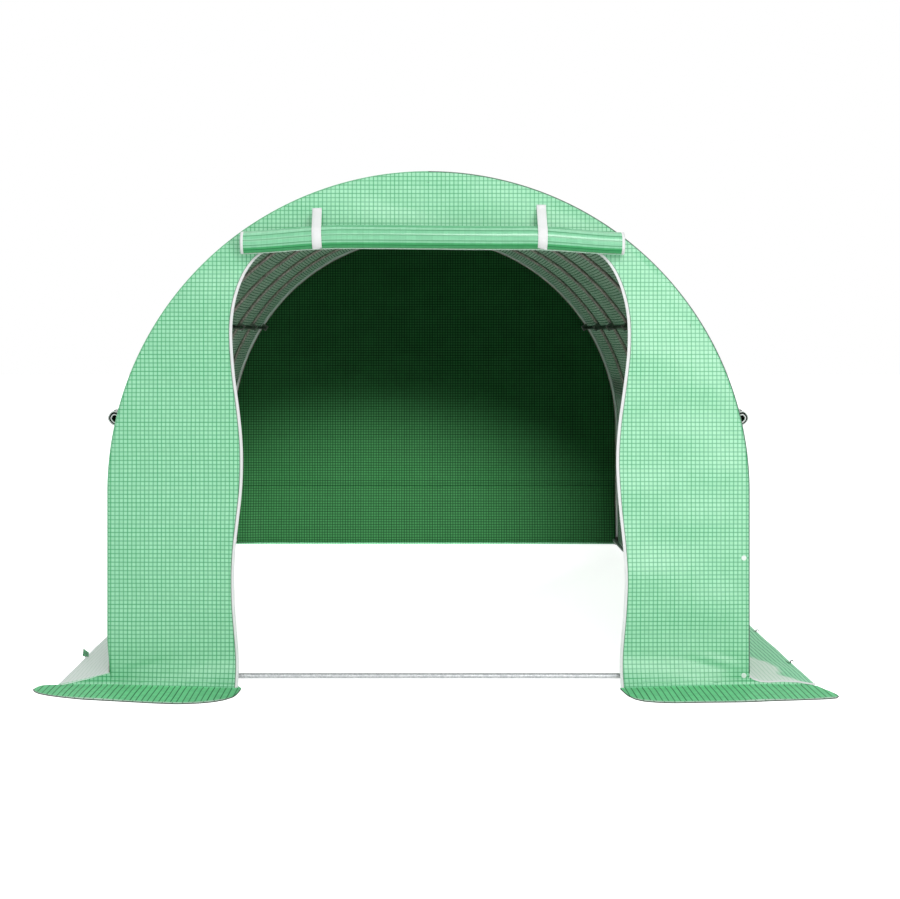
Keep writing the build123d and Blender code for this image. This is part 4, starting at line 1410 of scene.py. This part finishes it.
@dataclass
class RolledCloth(Crew):
    """A roll of film: a spiral ribbon in section, with a tail sewn to the wall."""

    @staticmethod
    def spiral(radius: float, core: float, turns: float, count: int, leave: float, hand: int) -> Array:
        """A flat spiral that winds out and ends at an angle.

        With w turns still to go, r = radius - (radius - core)(w + 0.9 w^2) / (turns + 0.9 turns^2), so that
        the outer turns lie close together.

        Args:
            radius: outer radius.
            core: inner radius.
            turns: number of turns.
            count: points.
            leave: angle of its outer end, in radians.
            hand: 1 if it winds out anticlockwise, or -1.

        Returns:
            (count, 2) points round the origin.
        """
        t = np.linspace(0, 1, count)
        a = leave - hand * FULL_TURN * turns * (1 - t)
        left = turns * (1 - t)
        r = radius - (radius - core) * (left + 0.9 * left**2) / (turns + 0.9 * turns**2)
        return stacked(r * np.cos(a), r * np.sin(a))

    @staticmethod
    def ribbon(line: Array, thickness: float) -> tuple[Array, Array]:
        """The closed section of a ribbon that follows a flat line, and the length along it.

        Args:
            line: (n, 2) points.
            thickness: thickness of the ribbon.

        Returns:
            (2n, 2) closed loop, out along one face and back along the other, and (2n + 1,) lengths.
        """
        tangent = np.gradient(line, axis=0)
        tangent /= np.linalg.norm(tangent, axis=1, keepdims=True)
        normal = stacked(-tangent[:, 1], tangent[:, 0])
        along = lengths_along(line)
        loop = np.vstack([line - normal * thickness / 2, (line + normal * thickness / 2)[::-1]])
        return loop, np.concatenate([along, along[::-1], along[:1]])

    @staticmethod
    def close_ends(made: bpy.types.Object, n: int, m: int, slot: int) -> None:
        """Closes a ribbon tube's two ends with a strip of quads from one face to the other.

        Args:
            made: the ribbon's object.
            n: number of its rings.
            m: number of points in a ring.
            slot: material slot of the strips.
        """
        mesh = made.data
        corner_uv = np.empty(len(mesh.loops) * 2, np.float32)
        mesh.uv_layers[0].data.foreach_get("uv", corner_uv)
        points = np.empty(len(mesh.loops), np.int32)
        mesh.loops.foreach_get("vertex_index", points)
        point_uv = np.zeros((len(mesh.vertices), 2), np.float32)
        point_uv[points] = corner_uv.reshape(-1, 2)
        k = np.arange(m // 2 - 1)
        strip = np.stack([k, k + 1, m - 2 - k, m - 1 - k], axis=1)
        quads = np.vstack([strip, strip[:, ::-1] + (n - 1) * m])
        add_faces(made, quads.tolist(), point_uv[quads], slot, smooth=True)


@dataclass
class DoorRoll(RolledCloth):
    """The rolled-up door over the doorway, with its two straps."""

    radius: float = 0.0470
    shift: float = 0.015
    length: float = 1.478
    core: float = 0.012
    turns: float = 4.4
    film: float = 0.0014
    end_tape: float = 0.011
    droop: float = 0.0222
    sink: float = 0.003
    strap_x: tuple[float, float] = (-0.430, 0.438)
    strap_lean: tuple[float, float] = (-0.004, 0.001)
    strap_top: tuple[float, float] = (1.857, 1.870)
    strap_width: float = 0.037
    strap_tab: float = 0.014
    strap_wrap: tuple[float, float] = (64, 62)
    thread_radius: float = 0.0004

    def centre(self) -> Vector:
        """The middle of the roll, from its CAD node."""
        low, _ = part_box("door_roll")
        return Vector((self.shift, low.y + self.radius, low.z + self.radius - self.sink))

    def build(self) -> None:
        """Builds the roll, its end tapes and the straps."""
        self.build_roll()
        for number in (0, 1):
            self.build_strap(number)

    def build_roll(self) -> None:
        """The roll: a spiral section carried along X, drooping past the straps, and slightly uneven.

        Height falls by droop * smoothstep of |x|, and the section shrinks by 6% at the ends. The outer turn
        leaves the roll at the wall and runs up behind it to its seam. White tape binds both ends, and the
        lower part of the outer turn takes a darker film, which is painted shade on the roll's underside.
        """
        middle = self.centre()
        edge = self.length / 2
        ends = np.array([0.0, 0.5, 1.0]) * self.end_tape
        x = np.concatenate([-edge + ends, np.linspace(-edge + 0.02, edge - 0.02, 96), edge - ends[::-1]])
        wall = -(self.form.half_length + 0.002) - middle.y
        line = self.spiral(self.radius, self.core, self.turns, 200, math.radians(18), 1)
        rise = np.linspace(0, 1, 12)[1:]
        leave_y, leave_z = line[-1]
        tail = stacked(leave_y + (wall - leave_y) * smoothstep(0.0, 0.9, rise), leave_z + 0.030 * rise)
        loop, along = self.ribbon(np.vstack([line, tail]), self.film)
        past = smoothstep(0.36, 0.76, np.abs(x))
        scale = 1 - 0.06 * past
        drop = self.droop * past * (1 + 0.10 * np.sign(x)) + 0.002 * np.sin(x * 5.0)
        held = np.clip((wall + 0.002 - loop[:, 0]) / 0.012, 0, 1)
        bearing = np.arctan2(loop[:, 1], loop[:, 0])[None, :]
        wobble = 1 + 0.008 * np.sin(5 * bearing + 2.6 * x[:, None])
        wobble = wobble + 0.005 * np.sin(11 * bearing - 4.0 * x[:, None])
        grow = 1 + (scale[:, None] * wobble - 1) * held
        y = middle.y + loop[:, 0] * grow
        z = middle.z + loop[:, 1] * grow - drop[:, None]
        points = stacked(self.shift + x[:, None], y, z)
        uv = stacked(x[:, None], along[None, :])
        at_end = np.abs((x[1:] + x[:-1]) / 2) > edge - self.end_tape
        outer = (np.hypot(loop[:, 0], loop[:, 1]) > self.radius - 0.003) & (loop[:, 0] < 0.4 * self.radius)
        # The lower band of the outer turn is painted shade: a darker film where the roll's underside is in
        # shadow.
        shaded_low_band = outer & (loop[:, 1] < -0.40 * self.radius)
        hem = outer & (loop[:, 1] < -0.94 * self.radius)
        index = np.where(at_end[:, None], 1, np.where(hem, 3, np.where(shaded_low_band, 2, 0))[None, :])
        made = grid_object("door_roll_cloth", points, uv, wrap=True, index=index)
        self.close_ends(made, len(x), len(loop), 1)
        looks = self.finishes
        finishes = [looks.rolled, looks.tape, looks.shaded_underside, looks.pale_hem]
        self.dress(made, finishes, "cover_film", ["door_roll"])

    def build_strap(self, number: int) -> None:
        """One strap: webbing from a sewn tab on the panel, down over the roll and back in under it.

        The path is a straight tab, an arc round the roll's front by strap_wrap in degrees above and below its
        middle, and the end tucked in under the roll. It leans a little across the panel as it rises.
        """
        side = ("left", "right")[number]
        middle = self.centre()
        x, top = self.strap_x[number], self.strap_top[number]
        face = -(self.form.half_length + 0.003)
        grip = self.radius + 0.0030
        above, below = np.radians(self.strap_wrap)
        a = np.linspace(math.pi - above, math.pi + below, 40)
        arc = stacked(middle.y + grip * np.cos(a), middle.z - 0.001 + grip * np.sin(a))
        tab = stacked(face, np.linspace(top, top - self.strap_tab, 6))
        foot = stacked(face, np.linspace(middle.z - 0.036, middle.z - 0.040, 3))
        dense = self.rounded(np.vstack([tab, arc, foot]), 90)
        path = np.column_stack([x + self.strap_lean[number] * (dense[:, 1] - middle.z) / 0.11, dense])
        profile = tape_profile(self.strap_width, 0.0022)
        web = swept_object(f"{side}_door_strap_web", path, profile, np.array([0.0, -1.0, 0.35]))
        self.dress(web, [self.finishes.tape], "white_tape", [f"{side}_door_strap"])
        self.build_stitches(side, path[3], path[0])

    def build_stitches(self, side: str, low: Array, high: Array) -> None:
        """The box of stitches that holds a strap's tab: short bars round a rectangle."""
        pieces = []
        half = self.strap_width / 2 - 0.005
        corners = np.array([[-half, 0.1], [half, 0.1], [half, 0.9], [-half, 0.9], [-half, 0.1]])
        count = 7
        for a, b in zip(corners[:-1], corners[1:]):
            for k in range(count):
                t = np.linspace(k + 0.15, k + 0.80, 3)[:, None] / count
                across, rise = (a + (b - a) * t).T
                path = low + (high - low) * rise[:, None] + stacked(across, -0.0014, 0.0)
                pieces.append(swept_object("stitch", path, circle(self.thread_radius, 5), FORWARD))
        self.dress(joined(f"{side}_strap_stitches", pieces), [self.finishes.tape], "white_tape")

    @staticmethod
    def rounded(line: Array, count: int) -> Array:
        """Even points along a line of runs, with its corners eased by a moving mean."""
        length = lengths_along(line)
        even = np.linspace(0, length[-1], count)
        points = stacked(*(np.interp(even, length, line[:, k]) for k in (0, 1)))
        for _ in range(3):
            points[1:-1] = (points[:-2] + points[1:-1] * 2 + points[2:]) / 4
        return points


@dataclass
class DoorZips(Crew):
    """The zip tape down each side of the doorway."""

    panels: EndPanels
    width: float = 0.0105
    seam_radius: float = 0.0012
    coil_radius: float = 0.0014

    def build(self) -> None:
        """Builds both tapes, each with a dark seam along its sewn edge and the coil along its free edge."""
        parts = (
            ("tape", 0.45, 0.0012, tape_profile(self.width, 0.0016)),
            ("seam", 1.05, 0.0008, circle(self.seam_radius, 8)),
            ("coil", -0.05, 0.0020, circle(self.coil_radius, 8)),
        )
        for side, edge in ((Side.LEFT, self.panels.left_edge), (Side.RIGHT, self.panels.right_edge)):
            z = np.concatenate([[0.003, 0.008], np.linspace(self.form.foot + 0.002, edge.top - 0.004, 190)])
            half = edge.half(z)
            face = self.panels.front_y(side.value * half, z, np.zeros_like(z))
            made = {}
            for name, widths_in, lift, section in parts:
                path = stacked(side.value * (half + self.width * widths_in), face - lift, z)
                made[name] = swept_object(name, path, section, FORWARD)
            zip_tape = joined(f"{side.word}_door_zip_tape", [made["tape"], made["coil"]])
            self.dress(zip_tape, [self.finishes.tape], "white_tape", [f"{side.word}_door_zip"])
            made["seam"].name = f"{side.word}_door_seam"
            self.dress(made["seam"], [self.finishes.seam], "cover_film")


@dataclass
class Windows(RolledCloth):
    """The nets in the window holes, and the flaps rolled up over them."""

    cover: Cover
    radius: float = 0.029
    core: float = 0.006
    turns: float = 2.1
    film: float = 0.0046
    length: float = 0.40
    net_lap: float = 0.014
    net_depth: float = 0.0022
    net_film: float = 0.0006
    seam_up: float = 0.06
    tie_width: float = 0.016
    tie_places: tuple[float, float] = (-0.11, 0.11)
    roll_z: float = field(init=False)

    def __post_init__(self) -> None:
        """Takes the rolls' height from their CAD node."""
        low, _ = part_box("right_window_rolls")
        self.roll_z = low.z + self.radius + 0.001

    def build(self) -> None:
        """Builds the nets, rolls and ties on both sides."""
        for side in Side:
            self.build_nets(side)
            self.build_rolls(side)

    @staticmethod
    def mark_ends(made: bpy.types.Object, slot: int) -> None:
        """Gives a material slot to the faces that look along the tunnel."""
        at_end = np.abs(face_normals(made)[:, 1]) > 0.9
        made.data.polygons.foreach_set("material_index", np.where(at_end, slot, 0).astype(np.int32))

    def build_nets(self, side: Side) -> None:
        """The nets: a patch of the cover's own surface, net_depth inside it, behind each hole."""
        cover, form, lap = self.cover, self.form, self.net_lap
        low, high = form.path_at(cover.window_low - lap), form.path_at(cover.window_high + lap)
        p = np.linspace(high, low, 16)
        half = cover.window_width / 2 + lap
        pieces = []
        for number, centre in enumerate(cover.window_centres):
            yy, pp = np.meshgrid(np.linspace(centre - half, centre + half, 14), p, indexing="ij")
            points, uv = form.skin(side.value * pp, yy, -self.net_depth), stacked(pp, yy)
            if side is Side.RIGHT:
                points, uv = points[:, ::-1], uv[:, ::-1]
            pieces.append(grid_object(f"net_{number}", points, uv))
        made = joined(f"{side.word}_window_mesh", pieces)
        thicken(made, self.net_film)
        self.dress(made, [self.finishes.net], "window_net", [f"{side.word}_window_nets"])

    def build_rolls(self, side: Side) -> None:
        """The rolled flaps: a spiral section along Y, its tail up to the seam, and two ties round each."""
        form = self.form
        reach = form.radius + 0.001 + self.radius
        centre_x = math.sqrt(reach**2 - (self.roll_z - form.spring) ** 2)
        line = self.spiral(self.radius, self.core, self.turns, 84, math.pi, -1)
        seam_x = form.outline_half(np.array(self.roll_z + self.seam_up)) + 0.0015
        seam = np.array([seam_x - centre_x, self.seam_up])
        tail = line[-1] + (seam - line[-1]) * np.linspace(0, 1, 10)[1:, None]
        loop, along = self.ribbon(np.vstack([line, tail]), self.film)
        tie_ring, tie_section = circle(self.radius * 1.04 + 0.0006, 32), tape_profile(self.tie_width, 0.0024)
        bearing = np.arctan2(loop[:, 1], loop[:, 0])[None, :]
        keep_tail = np.clip(1 - (np.hypot(loop[:, 0], loop[:, 1]) - self.radius) / 0.01, 0, 1)[None, :]
        rolls, ties = [], []
        for number, centre in enumerate(self.cover.window_centres):
            y = np.linspace(centre - self.length / 2, centre + self.length / 2, 16)
            wobble = 0.03 * np.sin(5 * bearing + 9 * y[:, None] + number)
            size = 1 + wobble * keep_tail
            x, z = centre_x + loop[None, :, 0] * size, self.roll_z + loop[None, :, 1] * size
            points, uv = stacked(side.value * x, y[:, None], z), stacked(y[:, None], along[None, :])
            if side is Side.RIGHT:
                points, uv = points[::-1], uv[::-1]
            roll = grid_object(f"roll_{number}", points, uv, wrap=True)
            self.close_ends(roll, len(y), len(loop), 1)
            rolls.append(roll)
            for place in self.tie_places:
                middle = np.array([side.value * centre_x, centre + place, self.roll_z])
                up = stacked(side.value * tie_ring[:, 0], 0.0, tie_ring[:, 1])
                ties.append(swept_object("tie", middle + up, tie_section, up, closed=True))
        # The flaps and their ties take the dark copy of the film: painted shade.
        made = joined(f"{side.word}_window_flaps", rolls)
        self.mark_ends(made, 1)
        finishes = [self.finishes.shaded_flap, self.finishes.tape]
        self.dress(made, finishes, "cover_film", [f"{side.word}_window_rolls"])
        band = joined(f"{side.word}_window_ties", ties)
        self.dress(band, [self.finishes.shaded_flap], "cover_film")


@dataclass
class Frame(Crew):
    """The tubes and fittings, which keep their CAD shape and take a finer finish."""

    def build(self) -> None:
        """Assigns a finish to each CAD node that stays."""
        finishes = self.finishes
        plan = {
            # The hoops', purlins' and corner fittings' finishes are darker copies of the rails' galvanised
            # steel: painted shade.
            "left_legs right_legs left_side_bows right_side_bows crown_bows": finishes.hoop,
            "purlin_front_tubes purlin_middle_tubes purlin_back_tubes corner_fittings": finishes.purlin,
            "rail_front_tubes rail_middle_tubes rail_back_tubes cross_rails": finishes.rail,
            "purlin_clips rail_clips": finishes.clip,
            "foot_caps": finishes.foot,
            "panel_buttons": finishes.button,
            "left_ground_pegs right_ground_pegs": finishes.peg,
        }
        for names, material in plan.items():
            for name in names.split():
                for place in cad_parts[name].material_slots:
                    place.material = material
            log.info("%s: %s", names, material.name)


@dataclass
class Studio:
    """Floor, light and camera."""

    form: TunnelForm
    distance: float = 6.068
    eye_x: float = -0.037
    eye_z: float = 1.3785
    lens: float = 62.3305
    lens_shift: tuple[float, float] = (0.0344444, -0.1316667)
    floor_half: float = 40.0
    floor_drop: float = 0.0005

    def build(self) -> None:
        """Sets the stage."""
        self.build_floor()
        self.build_light()
        self.build_camera()

    def build_floor(self) -> None:
        """A flat pale floor under the tunnel."""
        reach = np.array([-self.floor_half, self.floor_half])
        corners = stacked(reach[:, None], reach[None, :], -self.floor_drop)
        floor = grid_object("floor", corners, corners[..., :2])
        floor.data.materials.append(PaleFloor("pale_floor").build())

    def build_light(self) -> None:
        """An even sky, soft lamps in front and above, and a spot inside that lights the back wall's foot."""
        world = bpy.data.worlds.new("studio")
        bpy.context.scene.world = world
        sky = NodeTree(world, "ShaderNodeOutputWorld")
        shares = []
        for colour, strength in (((0.96, 0.98, 1.0, 1.0), 0.46), ((1.0, 1.0, 1.0, 1.0), 1.0)):
            light = sky.node("ShaderNodeBackground")
            sky.feed(light.inputs[0], colour)
            sky.feed(light.inputs[1], strength)
            shares.append(light.outputs[0])
        sky.blend("ShaderNodeMixShader", sky.seen(), *shares)
        self.lamp("key", "AREA", (1.0, -8.6, 4.9), (0.0, -1.0, 0.9), energy=150, size=2.2)
        self.lamp("right", "AREA", (2.8, -8.0, 1.7), (0.6, -2.0, 0.8), energy=110, size=1.6)
        self.lamp("left", "AREA", (-2.2, -8.6, 4.2), (-0.3, -1.0, 0.9), energy=62, size=3.0)
        self.lamp("above", "AREA", (0.0, -0.5, 7.0), (0.0, -0.5, 0.0), energy=150, size=6.0)
        cone = {"spot_size": math.radians(29.2), "spot_blend": 1.0, "shadow_soft_size": 0.10}
        spot = self.lamp("doorway", "SPOT", (0.0, -1.9, 0.9), (-0.40, 2.3, 0.0), energy=860, **cone)
        spot.scale = (1.8, 1.0, 1.0)  # its cone is wider than it is high
        spot.visible_camera = False

    @staticmethod
    def lamp(name: str, kind: str, place: Place, aim: Place, **settings: float) -> bpy.types.Object:
        """A lamp at a place, aimed at a point, with its power in watts as energy."""
        data = bpy.data.lights.new(name, kind)
        for key, value in settings.items():
            setattr(data, key, value)
        made = bpy.data.objects.new(name, data)
        made.location = place
        made.rotation_euler = (Vector(aim) - Vector(place)).to_track_quat("-Z", "Y").to_euler()
        bpy.context.scene.collection.objects.link(made)
        return made

    def build_camera(self) -> None:
        """A level camera, a little left of the middle, with its lens shifted down and to the right."""
        data = bpy.data.cameras.new("camera")
        data.sensor_width = 36.0
        data.lens = self.lens
        data.shift_x, data.shift_y = self.lens_shift
        made = bpy.data.objects.new("camera", data)
        made.location = (self.eye_x, -(self.form.half_length + self.distance), self.eye_z)
        made.rotation_euler = (math.pi / 2, 0, 0)
        bpy.context.scene.collection.objects.link(made)
        bpy.context.scene.camera = made
        bpy.context.scene.view_settings.view_transform = "Standard"


def main() -> None:
    """Builds the sub-assemblies in order, then the studio."""
    logging.basicConfig(level=logging.INFO, format="%(name)s %(message)s")
    form = TunnelForm.from_frame()
    finishes = Finishes()
    cover = Cover(form, finishes)
    cover.build()
    panels = EndPanels(form, finishes)
    panels.build()
    Skirts(form, finishes).build()
    DoorRoll(form, finishes).build()
    DoorZips(form, finishes, panels).build()
    Windows(form, finishes, cover).build()
    Frame(form, finishes).build()
    Studio(form).build()


if __name__ == "__main__":
    main()
